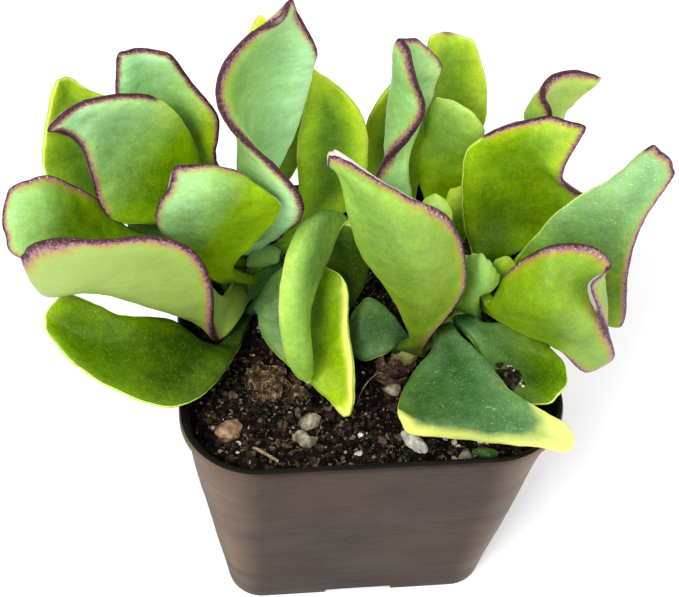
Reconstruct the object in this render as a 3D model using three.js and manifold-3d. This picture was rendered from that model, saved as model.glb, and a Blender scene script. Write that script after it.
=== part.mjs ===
// A ripple jade in a small square nursery pot. Units are millimetres and +Z is up.
// The origin is the middle of the pot's foot, the front of the pot faces -Y and +X is to the right.
import * as THREE from 'three';
import Module from 'manifold-3d';

const wasm = await Module();
wasm.setup();

// Pot
const POT_HEIGHT = 56;
const LIP_WIDTH = 64;
const LIP_HEIGHT = 2;
const LIP_OVERHANG = 0.7;
const LIP_CORNER = 13;
const LIP_ROUND = 0.4;
const LIP_FLAT = 1.3;
const FOOT_WIDTH = 49.5;
const FOOT_CORNER = 6.5;
const FOOT_ROUND = 0.7;
const WALL = 1.1;
const FLOOR = 2;
const NOTCH_WIDTH = 11;
const NOTCH_HEIGHT = 1;
const NOTCH_DEPTH = 5;
const DRAIN_WIDTH = 7;
const DRAIN_DEPTH = 2.2;
const DRAIN_INSET = 2.6;
const CUT_SPARE = 1;
const CORNER_STEPS = 6;

// Soil
const SOIL_LEVEL = 50;
const SOIL_EDGE_DROP = 0.8;
const SOIL_BUMP = 0.9;
const SOIL_RINGS = [0.93, 0.82, 0.7, 0.57, 0.44, 0.3, 0.15];
const GAP = 0.3;
const SOCKET_GAP = 0.4;
const ROOT_GAP = 0.5;

// Leaves
const LEAF_THICK = 2.3;
const LEAF_EDGE = 1.3;
const LEAF_NECK = 4.2;
const LEAF_THIN = 0.7;
const BEND_SHARE = 1;
const NORMAL_PASSES = 2;
const STEPS_ACROSS = 6;
const STEPS_ALONG = 9;

// Colours and finishes
const material = (color, roughness, metalness = 0) =>
  new THREE.MeshStandardMaterial({ color, roughness, metalness });
const potPlastic = material(0x4f453f, 0.55);
const pottingMix = material(0x1d1713, 0.95);
const tanStone = material(0xa07a54, 0.85);
const greyStone = material(0x8d8b7c, 0.85);
const barkBrown = material(0x6b5138, 0.95);
const strawTan = material(0xb09468, 0.85);
const stemBark = material(0x8a7a4c, 0.7);
const leafLime = material(0x7fb024, 0.42);
const leafPale = material(0x9cc77a, 0.45);
const leafDark = material(0x3f6e3c, 0.5);

const group = new THREE.Group();

function addMesh(name, geometry, finish) {
  geometry.computeVertexNormals();
  const mesh = new THREE.Mesh(geometry, finish);
  mesh.name = name;
  group.add(mesh);
  return mesh;
}

// A geometry from points and the triangles between them.
function body(points, triangles) {
  const geometry = new THREE.BufferGeometry();
  const numbers = points.flatMap((p) => [p.x, p.y, p.z]);
  geometry.setAttribute('position', new THREE.Float32BufferAttribute(numbers, 3));
  geometry.setIndex(triangles);
  return geometry;
}

// A closed skin over rings of equally many points, with a fan over each end.
// The rings run counterclockwise seen from the last ring back to the first.
function loft(rings) {
  const count = rings[0].length;
  const points = rings.flat();
  const triangles = [];
  for (let ring = 0; ring + 1 < rings.length; ring += 1) {
    for (let k = 0; k < count; k += 1) {
      const a = ring * count + k;
      const b = ring * count + (k + 1) % count;
      triangles.push(a, b, b + count, a, b + count, a + count);
    }
  }
  const middle = (ring) => ring
    .reduce((sum, p) => sum.add(p), new THREE.Vector3())
    .divideScalar(ring.length);
  const start = points.push(middle(rings[0])) - 1;
  const end = points.push(middle(rings.at(-1))) - 1;
  const last = (rings.length - 1) * count;
  for (let k = 0; k < count; k += 1) {
    const next = (k + 1) % count;
    triangles.push(start, next, k);
    triangles.push(end, last + k, last + next);
  }
  return body(points, triangles);
}

// A round rod along a curve, with its own radius at each step.
function rod(curve, steps, sides, radiusAt) {
  const frames = curve.computeFrenetFrames(steps, false);
  const rings = [];
  for (let step = 0; step <= steps; step += 1) {
    const centre = curve.getPointAt(step / steps);
    const ring = [];
    for (let k = 0; k < sides; k += 1) {
      const angle = (2 * Math.PI * k) / sides;
      const radius = radiusAt(step / steps);
      ring.push(centre.clone()
        .addScaledVector(frames.normals[step], radius * Math.cos(angle))
        .addScaledVector(frames.binormals[step], radius * Math.sin(angle)));
    }
    rings.push(ring);
  }
  return loft(rings);
}

// Solids for cutting. The points of each geometry are already shared.
function solid(geometry) {
  const vertProperties = new Float32Array(geometry.attributes.position.array);
  const triVerts = new Uint32Array(geometry.index.array);
  return new wasm.Manifold(new wasm.Mesh({ numProp: 3, vertProperties, triVerts }));
}

function geometryOf(manifold) {
  const mesh = manifold.getMesh();
  const geometry = new THREE.BufferGeometry();
  geometry.setAttribute('position', new THREE.BufferAttribute(mesh.vertProperties, 3));
  geometry.setIndex(new THREE.BufferAttribute(mesh.triVerts, 1));
  return geometry;
}

// The eight-point box as a closed loft, so that its corners are shared.
function block(width, depth, bottom, top, x, y) {
  const ring = (z) => [[-1, -1], [1, -1], [1, 1], [-1, 1]]
    .map(([i, j]) => new THREE.Vector3(x + (i * width) / 2, y + (j * depth) / 2, z));
  return loft([ring(bottom), ring(top)]);
}

// Repeatable random numbers from 0 to 1.
function seeded(seed) {
  let state = seed;
  return () => {
    state = (state * 1664525 + 1013904223) % 4294967296;
    return state / 4294967296;
  };
}

// Pot: one thin tapered wall with round corners, a narrow lip and a flat floor.
const SIDE_TOP = POT_HEIGHT - LIP_HEIGHT;
const SIDE_TOP_WIDTH = LIP_WIDTH - 2 * LIP_OVERHANG;

const potWidth = (z) => FOOT_WIDTH + ((SIDE_TOP_WIDTH - FOOT_WIDTH) * z) / SIDE_TOP;
const potCorner = (z) => FOOT_CORNER + ((LIP_CORNER - FOOT_CORNER) * z) / SIDE_TOP;

function roundSquare(width, corner, z) {
  const ring = [];
  for (let side = 0; side < 4; side += 1) {
    const turn = (side * Math.PI) / 2;
    for (let step = 0; step <= CORNER_STEPS; step += 1) {
      const angle = turn + ((step / CORNER_STEPS) * Math.PI) / 2;
      const offset = width / 2 - corner;
      const centreX = offset * (Math.cos(turn) - Math.sin(turn));
      const centreY = offset * (Math.sin(turn) + Math.cos(turn));
      ring.push(new THREE.Vector3(
        centreX + corner * Math.cos(angle),
        centreY + corner * Math.sin(angle),
        z,
      ));
    }
  }
  return ring;
}

const innerRing = (z, inset) => {
  const shrink = WALL + inset;
  return roundSquare(potWidth(z) - 2 * shrink, potCorner(z) - shrink, z);
};

function makePot() {
  const shell = solid(loft([
    roundSquare(FOOT_WIDTH - 2 * FOOT_ROUND, FOOT_CORNER - FOOT_ROUND, 0),
    roundSquare(FOOT_WIDTH, FOOT_CORNER, FOOT_ROUND),
    roundSquare(SIDE_TOP_WIDTH, LIP_CORNER - LIP_OVERHANG, SIDE_TOP),
    roundSquare(LIP_WIDTH, LIP_CORNER, SIDE_TOP + LIP_ROUND),
    roundSquare(LIP_WIDTH, LIP_CORNER, POT_HEIGHT - LIP_ROUND),
    roundSquare(LIP_WIDTH - 2 * LIP_ROUND, LIP_CORNER - LIP_ROUND, POT_HEIGHT),
    roundSquare(LIP_WIDTH - 2 * LIP_FLAT, LIP_CORNER - LIP_FLAT, POT_HEIGHT),
    innerRing(SIDE_TOP - LIP_FLAT, 0),
    innerRing(FLOOR, 0),
  ]));
  let pot = shell;
  const edge = FOOT_WIDTH / 2;
  for (let side = 0; side < 4; side += 1) {
    const along = side % 2 === 0;
    const out = side < 2 ? 1 : -1;
    const place = (distance) => (along ? [out * distance, 0] : [0, out * distance]);
    const size = (width, depth) => (along ? [depth, width] : [width, depth]);
    const notchAt = place(edge + CUT_SPARE - NOTCH_DEPTH / 2);
    const notch = block(...size(NOTCH_WIDTH, NOTCH_DEPTH), -CUT_SPARE, NOTCH_HEIGHT, ...notchAt);
    const drainAt = place(edge - DRAIN_INSET);
    const drain = block(...size(DRAIN_WIDTH, DRAIN_DEPTH), -CUT_SPARE, FLOOR + CUT_SPARE, ...drainAt);
    pot = pot.subtract(solid(notch)).subtract(solid(drain));
  }
  addMesh('pot', geometryOf(pot), potPlastic);
}

// Stems: each follows a curve from inside the soil to its tip.
const point = (xyz) => new THREE.Vector3(...xyz);
const curveThrough = (places) => new THREE.CatmullRomCurve3(places.map(point));

const stems = {
  stem_left: {
    curve: curveThrough([[-20.5, 5, 43], [-20.5, 5.5, 50], [-20, 7, 58], [-20.5, 9.5, 67], [-20.5, 12, 75]]),
    thick: 2.1,
    thin: 1.5,
  },
  stem_middle: {
    curve: curveThrough([[4, -7, 43], [5.5, -7.5, 50], [9, -6.5, 54.5], [13.5, -5.5, 58], [18, -4, 62],
      [21.5, -1, 65.5]]),
    thick: 2.4,
    thin: 1.5,
  },
  stem_back: {
    curve: curveThrough([[14.5, 17, 43], [14.5, 17.5, 50], [14.5, 18.5, 58], [15.5, 19.5, 66],
      [16, 20, 71]]),
    thick: 2,
    thin: 1.5,
  },
  stem_centre: {
    curve: curveThrough([[-2.5, 5.5, 43], [-2.5, 5, 49], [-2.8, 4.5, 54.5]]),
    thick: 1.8,
    thin: 1.6,
  },
};

const STEM_STEPS = 10;
const STEM_SIDES = 9;
const radiusAlong = (stem, t) => stem.thick + (stem.thin - stem.thick) * t;

function makeStems() {
  for (const [name, stem] of Object.entries(stems)) {
    const geometry = rod(stem.curve, STEM_STEPS, STEM_SIDES, (t) => radiusAlong(stem, t));
    addMesh(name, geometry, stemBark);
  }
}

// Stones and bark: rough lumps with flattened sides, half sunk in the soil.
const stones = [
  { name: 'stone_tan', at: [-24, -19.5, 50.2], size: [4.8, 3.6, 4.4], turn: 0.4, finish: tanStone },
  { name: 'stone_grey', at: [-10.5, -18.5, 50.4], size: [4.2, 3.4, 3], turn: 0.9, finish: greyStone },
  { name: 'stone_grey_low', at: [-12, -22.8, 49.8], size: [4.8, 3.4, 2.8], turn: -0.3, finish: greyStone },
  { name: 'stone_white', at: [6.8, -23.5, 50.2], size: [2.6, 6.4, 2.4], turn: 0.7, finish: greyStone },
  { name: 'stone_back', at: [4.5, -12.4, 50], size: [3.4, 3, 2.6], turn: 0.2, finish: greyStone },
  { name: 'stone_right', at: [15, -27, 49.6], size: [3.6, 3, 2.6], turn: 1.2, finish: greyStone },
  { name: 'bark_clump', at: [-17, -10.5, 50], size: [7.4, 8.6, 4.2], turn: 0.2, finish: barkBrown },
  { name: 'bark_chip', at: [-11.9, -13.2, 50.2], size: [3, 3.4, 3.4], turn: 0.5, finish: barkBrown },
];

function lump({ at, size, turn }, grow, seed) {
  const random = seeded(seed);
  const ball = new THREE.IcosahedronGeometry(0.5, 1);
  const corners = ball.attributes.position;
  const found = new Map();
  const points = [];
  const triangles = [];
  for (let k = 0; k < corners.count; k += 1) {
    const corner = new THREE.Vector3().fromBufferAttribute(corners, k);
    const key = corner.toArray().map((n) => n.toFixed(3)).join(' ');
    if (!found.has(key)) {
      const rough = 1 + 0.22 * (random() - 0.5);
      corner.multiplyScalar(rough).multiply(new THREE.Vector3(...size.map((n) => n + 2 * grow)));
      corner.applyAxisAngle(new THREE.Vector3(0, 0, 1), turn).add(point(at));
      found.set(key, points.push(corner) - 1);
    }
    triangles.push(found.get(key));
  }
  return body(points, triangles);
}

function makeStones() {
  stones.forEach((stone, k) => addMesh(stone.name, lump(stone, 0, k + 1), stone.finish));
}

// A straw and a thin root thread that arches out of the mix.
const THREAD_STEPS = 8;
const THREAD_SIDES = 5;
const STRAW = {
  curve: curveThrough([[-20.2, -23.4, 50.9], [-18.6, -24.8, 51.5], [-16, -26.6, 51.1]]),
  radius: 0.45,
};
const THREAD = {
  curve: curveThrough([[-2.2, -15.8, 49.2], [-1, -13.6, 52.2], [2, -11, 53.2], [5, -10.6, 50]]),
  radius: 0.35,
};

// Soil: fills the pot, with a lumpy top, sockets for the stones and plain holes for the stems.
const soilHeight = (x, y) => SOIL_LEVEL + SOIL_BUMP * (
  0.5 * Math.sin(0.55 * x + 1.3) * Math.cos(0.48 * y)
  + 0.35 * Math.sin(1.15 * x - 0.9 * y + 0.6)
  + 0.25 * Math.cos(1.6 * y + 0.7 * x)
);

function makeSoil() {
  const rim = innerRing(SOIL_LEVEL - SOIL_EDGE_DROP, GAP);
  const rings = [innerRing(FLOOR + GAP, GAP), innerRing(SOIL_LEVEL / 2, GAP), rim];
  for (const share of SOIL_RINGS) {
    rings.push(rim.map((p) => {
      const x = p.x * share;
      const y = p.y * share;
      return new THREE.Vector3(x, y, soilHeight(x, y));
    }));
  }
  let soil = solid(loft(rings));
  for (const stem of Object.values(stems)) {
    const hole = rod(stem.curve, STEM_STEPS, STEM_SIDES, (t) => radiusAlong(stem, t) + SOCKET_GAP);
    const bore = solid(hole);
    soil = soil.subtract(bore);
    soil = soil.subtract(bore.translate([0, 0, -GAP]));
  }
  stones.forEach((stone, k) => {
    soil = soil.subtract(solid(lump(stone, SOCKET_GAP, k + 1)));
  });
  for (const thread of [STRAW, THREAD]) {
    const groove = solid(rod(thread.curve, THREAD_STEPS, THREAD_SIDES, () => thread.radius + SOCKET_GAP));
    soil = soil.subtract(groove).subtract(groove.translate([0, 0, -GAP]));
  }
  addMesh('soil', geometryOf(soil), pottingMix);
  addMesh('straw', rod(STRAW.curve, THREAD_STEPS, THREAD_SIDES, () => STRAW.radius), strawTan);
  addMesh('root_thread', rod(THREAD.curve, THREAD_STEPS, THREAD_SIDES, () => THREAD.radius), strawTan);
}

// Leaves: each is a waved blade of real thickness. A section is a line of points across the
// blade, from one margin over the midrib to the other, and the sections run from the stem to
// the tip. The neck is set on the stem at the share `at` of the stem's length.
const leaves = {
  // Left stem, from the far left round to the tall twisted leaf
  leaf_left_far_back: { stem: 'stem_left', at: 0.52, finish: leafLime, sections: [
    [[-32.5, 12, 65.5], [-31, 15, 66.5], [-28, 16, 69]],
    [[-44.5, 14, 68], [-40.5, 18, 73.5], [-35, 18, 79.5]],
    [[-52, 15, 76], [-46, 20, 82.5], [-38.5, 19, 86.5]],
    [[-51.5, 17, 85.5], [-47, 20, 88.5], [-40.5, 19, 89.5]],
    [[-49, 18, 94], [-47, 20, 93.5], [-43.5, 20, 90.5]],
  ] },
  leaf_left_hooked: { stem: 'stem_left', at: 0.79, finish: leafPale, sections: [
    [[-28, 7.5, 72], [-27, 9, 73], [-26, 11.5, 74.5]],
    [[-35.5, 5, 75.5], [-32.5, 9, 79], [-27.5, 12, 84]],
    [[-41.5, 5, 77.5], [-37.5, 11, 84], [-31.5, 12, 94]],
    [[-43.5, 7, 81.5], [-40.5, 12, 87.5], [-37, 11, 97.5]],
    [[-45, 9, 89], [-44.5, 10, 93], [-44, 9, 98]],
    [[-47.5, 7, 94], [-49, 6.5, 95], [-47, 7, 97.5]],
  ] },
  leaf_left_back: { stem: 'stem_left', at: 0.92, finish: leafPale, sections: [
    [[-26.5, 15, 73], [-24.5, 15.5, 73], [-23, 15.5, 75]],
    [[-35, 15, 82], [-29.5, 17, 80], [-24.5, 14.5, 81]],
    [[-39, 16, 90], [-32, 18, 88], [-24, 15, 89]],
    [[-39, 16, 97], [-33.5, 19, 94], [-27.5, 17, 94]],
    [[-38.5, 16, 101.5], [-34.5, 18, 100.5], [-30.5, 17, 100]],
  ] },
  leaf_left_far: { stem: 'stem_left', at: 0.64, finish: leafLime, sections: [
    [[-29, 7, 68], [-29, 5, 68], [-29.5, 3, 67.5]],
    [[-38.5, 7, 71], [-39, 4, 71.5], [-39, 1, 70.5]],
    [[-44.5, 8, 78.5], [-45.5, 3, 76.5], [-46, -2, 74.5]],
    [[-51, 6, 85.5], [-51, 1, 82.5], [-51.5, -4, 76]],
    [[-56, 4, 85.5], [-57, 0, 83.5], [-56.5, -3, 78.5]],
  ] },
  leaf_left_boat: { stem: 'stem_left', at: 0.42, finish: leafPale, sections: [
    [[-22.5, -1.5, 56], [-23.5, -0.5, 58.5], [-24, 2, 59.5]],
    [[-25.5, -4.5, 55.5], [-26, -2, 57], [-25.5, 2, 61]],
    [[-26, -7, 66.5], [-28.5, -4, 62], [-28, 2, 64]],
    [[-26.5, -9, 79], [-31.5, -6, 66], [-32, 1, 66.5]],
    [[-32, -10, 87.5], [-38, -8, 72.5], [-39, -1, 70.5]],
    [[-40.5, -11.5, 89], [-45.5, -9, 76.5], [-45.5, -4, 76.5]],
    [[-47, -11, 89.5], [-51, -9, 75.5], [-49.5, -5, 81]],
    [[-52, -9, 86.5], [-53.8, -8.4, 82], [-52.2, -6.4, 82.5]],
  ] },
  leaf_left_low: { stem: 'stem_left', at: 0.28, finish: leafDark, sections: [
    [[-21.5, -4, 53], [-23, -4, 53], [-25, -4, 53]],
    [[-24.5, -11.5, 56], [-25, -8, 56], [-28.5, -4.5, 55]],
    [[-31.5, -19.5, 58.5], [-31.5, -10.5, 59], [-32.5, -3.5, 60]],
    [[-41, -18, 61], [-40.5, -10, 61.5], [-40, -5.5, 64]],
    [[-48, -14.5, 64.5], [-47.5, -9, 64.5], [-45, -6, 68.5]],
    [[-52, -10.5, 67], [-52, -7.5, 68], [-49, -5.5, 71]],
  ] },
  leaf_left_front: { stem: 'stem_left', at: 0.53, finish: leafLime, sections: [
    [[-26, -1, 68.5], [-24, 0, 68.5], [-22.5, 1, 68]],
    [[-29.5, -3, 77], [-25, -3, 79.5], [-19, -1, 76.5]],
    [[-33.5, -4, 85], [-26.5, -5, 89.5], [-15.5, -2, 84]],
    [[-33, -4, 89], [-26, -5, 93], [-15.5, -3, 88]],
    [[-31.5, -4, 92.5], [-26, -3.5, 94.5], [-17.5, -3, 90.5]],
    [[-30.5, -4, 96.5], [-26, -2.5, 95.5], [-21, -2, 93.5]],
  ] },
  leaf_tall_twisted: { stem: 'stem_left', at: 0.7, finish: leafPale, sections: [
    [[-14.5, 5, 71.5], [-15.5, 7.5, 70], [-16, 10.5, 69]],
    [[-11, -1, 84], [-19, 3, 81], [-15.5, 11, 76.5]],
    [[-16.5, -2, 95], [-20, 5, 88.5], [-14, 13, 80]],
    [[-22.5, -2, 104], [-18.5, 8, 95], [-11, 13, 90]],
    [[-23.5, 0, 110], [-16.5, 10, 102], [-9.5, 11, 101.5]],
    [[-19, 3, 115], [-13.5, 9, 110.5], [-9, 9, 107.5]],
    [[-15, 5, 116], [-13, 7, 117.5], [-11.5, 8, 113.5]],
  ] },
  leaf_centre_back: { stem: 'stem_left', at: 0.57, finish: leafLime, sections: [
    [[-13, 9.5, 66.5], [-11, 9.5, 66.5], [-9, 9, 67]],
    [[-10.5, 12, 72.5], [-6, 13, 71], [-1.5, 12, 70.5]],
    [[-10.5, 15, 82.5], [-4, 17, 80], [1, 15, 79.5]],
    [[-9, 17, 91.5], [-4.5, 19, 88.5], [-0.5, 17, 87.5]],
    [[-8.5, 18, 96], [-6.5, 19, 93.5], [-3.5, 19, 91]],
  ] },
  leaf_behind_tall: { stem: 'stem_left', at: 0.97, finish: leafLime, sections: [
    [[-20.5, 16, 85], [-17, 17.5, 84], [-13.5, 17.5, 83.5]],
    [[-20.5, 18, 94], [-17, 20, 92.5], [-13, 19, 92]],
    [[-18.5, 19, 101.5], [-16.5, 21, 104], [-14.5, 20, 102.5]],
  ] },
  leaf_centre_trough: { stem: 'stem_left', at: 0.34, finish: leafDark, sections: [
    [[-18, 0, 57], [-15.5, 2.5, 59.5], [-14.5, 4.5, 62]],
    [[-17.5, -3.5, 56], [-13.5, 0, 59], [-12, 4, 64.5]],
    [[-14, -8.5, 54.5], [-9, -5, 57], [-4, 0.5, 65]],
    [[-9.5, -13, 53.5], [-6.5, -10.5, 55.5], [-3.5, -6.5, 61.5]],
    [[-6.5, -17, 53], [-4.5, -15.5, 54], [-3, -12.5, 58]],
    [[-5, -19.4, 52.9], [-3.9, -19.2, 53.2], [-3.2, -17.6, 55]],
  ] },
  leaf_rear_left: { stem: 'stem_left', at: 0.68, finish: leafLime, sections: [
    [[-20, 16, 66.5], [-18, 17, 66], [-16, 16.5, 66.5]],
    [[-17.5, 22, 69], [-14, 23.5, 68], [-10.5, 22.5, 69]],
    [[-16.5, 26, 74], [-12.5, 28, 73], [-8.5, 26.5, 74.5]],
    [[-14, 27, 79], [-12, 28.5, 79], [-9.5, 27.5, 79]],
  ] },
  leaf_rear_left_low: { stem: 'stem_left', at: 0.37, finish: leafDark, sections: [
    [[-25, 10.5, 57], [-24, 12, 57], [-22, 13, 57.5]],
    [[-30.5, 14, 60.5], [-29, 17.5, 60], [-25, 19, 61]],
    [[-34.5, 18, 65], [-32.5, 22.5, 65], [-28, 23.5, 66]],
    [[-35, 23, 70], [-33, 25.5, 70.5], [-30.5, 26, 70.5]],
  ] },
  // Centre stem: one leaf that arches over the middle of the pot
  leaf_centre_arch: { stem: 'stem_centre', at: 0.8, finish: leafLime, sections: [
    [[-5, 2, 56.5], [-3.5, 1, 56.5], [-1.5, 1, 57]],
    [[-7, 5, 66], [-3, 4.5, 64.5], [1, 3.5, 62.5]],
    [[-9, 5.5, 72.5], [-4.5, 5.5, 72], [0, 5.5, 68.5]],
    [[-11, 3, 75], [-7.5, 3.5, 77.5], [-3.5, 5, 74.5]],
    [[-13.5, -2, 73.5], [-10, -0.5, 75.5], [-5.5, 1.5, 72]],
    [[-15, -7.5, 67], [-12, -7, 68.5], [-9.5, -4.5, 67]],
    [[-13.5, -12.5, 59], [-11.5, -12.5, 61], [-10, -11.5, 61]],
    [[-11.5, -14, 56.5], [-10.5, -14.5, 56.5], [-10, -13.5, 57]],
  ] },
  // Middle stem, from its foot to its tip on the right
  leaf_middle_low: { stem: 'stem_middle', at: 0.36, finish: leafDark, sections: [
    [[4, 0, 57], [3.5, -4, 56], [3.5, -8, 54.5]],
    [[1, 1, 58.5], [-0.5, -3.5, 56.5], [-0.5, -8, 53]],
    [[-2, -1.5, 57.5], [-3, -3.5, 55], [-2.5, -6, 53]],
  ] },
  leaf_centre_large: { stem: 'stem_middle', at: 0.43, finish: leafPale, sections: [
    [[7, -10, 62], [8, -12, 64.5], [9.5, -12, 65]],
    [[1.5, -11, 76.5], [6, -15, 79.5], [13, -12, 73]],
    [[-2.5, -11, 84], [4, -17, 91.5], [13, -12, 82.5]],
    [[-5, -10, 92.5], [1, -15, 97], [9, -12, 93]],
    [[-7, -9, 100], [-3.5, -13, 101], [2.5, -13, 98.5]],
    [[-8.4, -8.8, 101], [-8, -8.2, 102.2], [-6.2, -8.8, 102.8]],
  ] },
  leaf_front_right: { stem: 'stem_middle', at: 0.6, finish: leafDark, sections: [
    [[10.5, -12.5, 61], [12, -12, 61.5], [15, -10.5, 62]],
    [[5.5, -19, 61.5], [10.5, -18.5, 62], [18, -17, 63]],
    [[3.5, -24, 61], [11.5, -24.5, 61.5], [22, -24.5, 62.5]],
    [[3.5, -26, 61], [11.5, -28, 61], [25, -29.5, 61.5]],
    [[5, -27.5, 59], [17, -29, 58], [30, -31.5, 58.5]],
  ] },
  leaf_right_low: { stem: 'stem_middle', at: 0.75, finish: leafDark, sections: [
    [[19, -7, 61], [18.5, -9, 60.5], [17.5, -11, 60.5]],
    [[23.5, -8, 61], [22, -11.5, 59], [20, -17.5, 59]],
    [[29.5, -11.5, 60], [28.5, -14.5, 58.5], [24, -22, 58.5]],
    [[32.5, -15, 59], [32, -19, 59], [28.5, -23, 59]],
  ] },
  leaf_right_front: { stem: 'stem_middle', at: 0.88, finish: leafPale, sections: [
    [[20.5, -6.5, 65.5], [21, -7, 65], [21.5, -7.5, 64.5], [22, -8, 64], [22, -8, 63]],
    [[22.5, -6, 71.5], [23, -9, 71.5], [24, -11, 70.5], [25, -11, 66.5], [26, -11, 62.5]],
    [[27, -8, 80], [28, -11, 78], [29, -14, 74.5], [30.5, -14, 68], [31.5, -13, 61]],
    [[32, -9, 82], [35, -10, 78], [37.5, -12, 71.5], [38, -13.4, 66], [38, -13, 54.5]],
    [[35.5, -9, 80.5], [37.5, -10.5, 78.5], [33, -15, 79], [39, -14, 65.5], [42, -12.5, 56.5]],
  ] },
  leaf_right_large: { stem: 'stem_middle', at: 0.93, finish: leafPale, sections: [
    [[25.5, 0, 68], [26, -1, 66.5], [27, -2, 64]],
    [[28, 0, 74], [33, -2, 68.5], [37, -3, 59.5]],
    [[33.5, 1, 81.5], [39, -2, 72.5], [45.5, -4, 54.5]],
    [[39.5, 3, 84], [41.5, -1, 80], [44.5, -4, 65.5]],
    [[43.5, 5, 87], [45.5, 2, 84.5], [44.5, -2, 77.5]],
    [[45.5, 5, 89.5], [48.5, 4, 87], [49, 2, 84.5]],
  ] },
  leaf_right_round: { stem: 'stem_middle', at: 1, finish: leafLime, sections: [
    [[18.5, 2.5, 68], [22, 3, 68], [26, 2.5, 68]],
    [[17, 6, 73], [23.5, 7, 72], [32.5, 5, 69.5]],
    [[16.5, 8, 79.5], [25, 9.5, 78], [40.5, 6.5, 73.5]],
    [[17, 10, 84.5], [25.5, 11, 83.5], [33, 7.5, 79.5]],
    [[19, 10.5, 87], [27, 11, 88], [33.5, 8, 86.5]],
    [[22, 11, 88.5], [29, 11, 90.5], [34.5, 7.5, 91.5]],
  ] },
  leaf_right_hook: { stem: 'stem_middle', at: 0.78, finish: leafPale, sections: [
    [[22.5, 7.5, 65], [24.5, 8, 64.5], [27, 7.5, 65]],
    [[26, 13, 73], [29, 14, 72], [32, 13, 73]],
    [[30, 14, 81], [30.5, 16, 80], [34.5, 17, 79.5]],
    [[30.5, 13.5, 89.5], [28, 16, 86], [34.5, 18, 85]],
    [[28.5, 14, 93], [29.5, 17, 89], [36, 18, 88]],
    [[30, 15, 95.5], [33.5, 17, 92.5], [37.5, 17, 91.5]],
    [[34, 16, 96], [37, 16.5, 94.5], [38.5, 16, 94]],
  ] },
  leaf_young_light: { stem: 'stem_middle', at: 0.8, finish: leafPale, sections: [
    [[16, -6, 67.5], [17, -7.5, 69], [18, -8, 69.5]],
    [[15.5, -5, 73], [17.5, -8, 74.5], [20, -7.5, 70.5]],
    [[15.5, -4, 74.5], [17.5, -6, 77], [21, -6, 71.5]],
  ] },
  leaf_young_side: { stem: 'stem_middle', at: 1, finish: leafLime, sections: [
    [[20.5, -3, 68.5], [22, -3.5, 68.5], [23.5, -3.5, 68.5]],
    [[20.5, -3, 70.5], [22, -3.5, 71], [24, -3.5, 70]],
    [[21, -3, 72], [23, -3, 72.5], [24.5, -3, 71]],
  ] },
  leaf_inner_centre: { stem: 'stem_middle', at: 0.65, finish: leafPale, sections: [
    [[11, -2.5, 64.5], [12, -3, 65], [13.5, -2.5, 64.5]],
    [[10, 0, 69], [11.5, -1, 70], [13.5, 0, 69]],
    [[9.5, 3, 73.5], [11, 1.5, 75], [13.5, 3, 73]],
    [[9, 4, 77.5], [11, 3, 79.5], [14, 4, 76]],
    [[10, 5, 79], [11, 4.5, 80.5], [12.5, 5, 78.5]],
  ] },
  // Back stem
  leaf_inner_back: { stem: 'stem_back', at: 0.38, finish: leafLime, sections: [
    [[15.5, 13, 58.5], [17, 12.5, 58], [18.5, 13, 58.5]],
    [[14.5, 10.5, 65], [17, 10, 65], [19.5, 10.5, 65]],
    [[14.5, 11, 70], [17, 10.5, 70], [20, 11, 70]],
    [[15.5, 12.5, 73], [17.5, 12.5, 73.5], [19.5, 12.5, 73]],
  ] },
  leaf_back_small: { stem: 'stem_back', at: 0.78, finish: leafLime, sections: [
    [[12.5, 16, 67], [15, 15.5, 67], [17.5, 16, 67]],
    [[10.5, 18, 73.5], [15, 17, 74], [19, 16, 76]],
    [[11.5, 19, 80], [15.5, 18, 82], [20.5, 16, 83]],
    [[12.5, 20, 87], [15.5, 19, 87], [18.5, 17, 86.5]],
  ] },
  leaf_back_tall: { stem: 'stem_back', at: 0.95, finish: leafLime, sections: [
    [[12.5, 24, 75], [17.5, 25, 74], [22.5, 24, 76]],
    [[11.5, 26, 87.5], [17.5, 28, 84], [22, 26, 86]],
    [[12, 27, 94.5], [16, 30, 92.5], [19.5, 28, 92.5]],
  ] },
  leaf_curly: { stem: 'stem_back', at: 0.6, finish: leafPale, sections: [
    [[7.5, 15, 63.5], [9, 14, 63], [10.5, 13.5, 63.5]],
    [[5, 15, 68.5], [7, 14, 69.5], [9.5, 14, 69.5]],
    [[2.5, 14, 75.5], [5.5, 13, 76], [8, 14, 77]],
    [[6, 11.5, 85], [4.5, 14, 82], [8.5, 16, 80]],
    [[9, 12, 91.5], [5, 17, 87.5], [11.5, 22, 82.5]],
    [[7.5, 13, 96.5], [5.5, 18, 93.5], [13, 23, 88.5]],
    [[6.5, 15, 100.5], [5, 18, 98.5], [13, 23, 92.5]],
    [[5.5, 17, 102], [5, 18, 101.5], [9, 21, 98.5]],
  ] },
  leaf_behind_curly: { stem: 'stem_back', at: 0.48, finish: leafLime, sections: [
    [[8, 20, 59], [10, 22, 58.5], [12, 23, 59.5]],
    [[2, 22, 69], [8.5, 26, 65], [13.5, 26, 67]],
    [[2.5, 25, 78], [8.5, 28, 74], [13, 27, 75]],
    [[6.5, 27, 85], [9.5, 29, 83.5], [11, 28, 81]],
  ] },
  leaf_rear_right: { stem: 'stem_back', at: 0.86, finish: leafLime, sections: [
    [[19.5, 19.5, 66.5], [20.5, 21.5, 66], [20, 23.5, 66.5]],
    [[24.5, 19.5, 69], [25.5, 23, 67.5], [23, 27, 69]],
    [[29, 20, 72.5], [30, 23.5, 71.5], [27, 27.5, 73]],
    [[31, 22, 76], [31, 24, 75.5], [29.5, 26, 76]],
  ] },
  leaf_rear_low: { stem: 'stem_back', at: 0.35, finish: leafDark, sections: [
    [[16.5, 22.5, 54.5], [18, 22, 54], [19.5, 21, 54.5]],
    [[17, 27, 57], [20, 26.5, 56], [23, 24.5, 57]],
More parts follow.
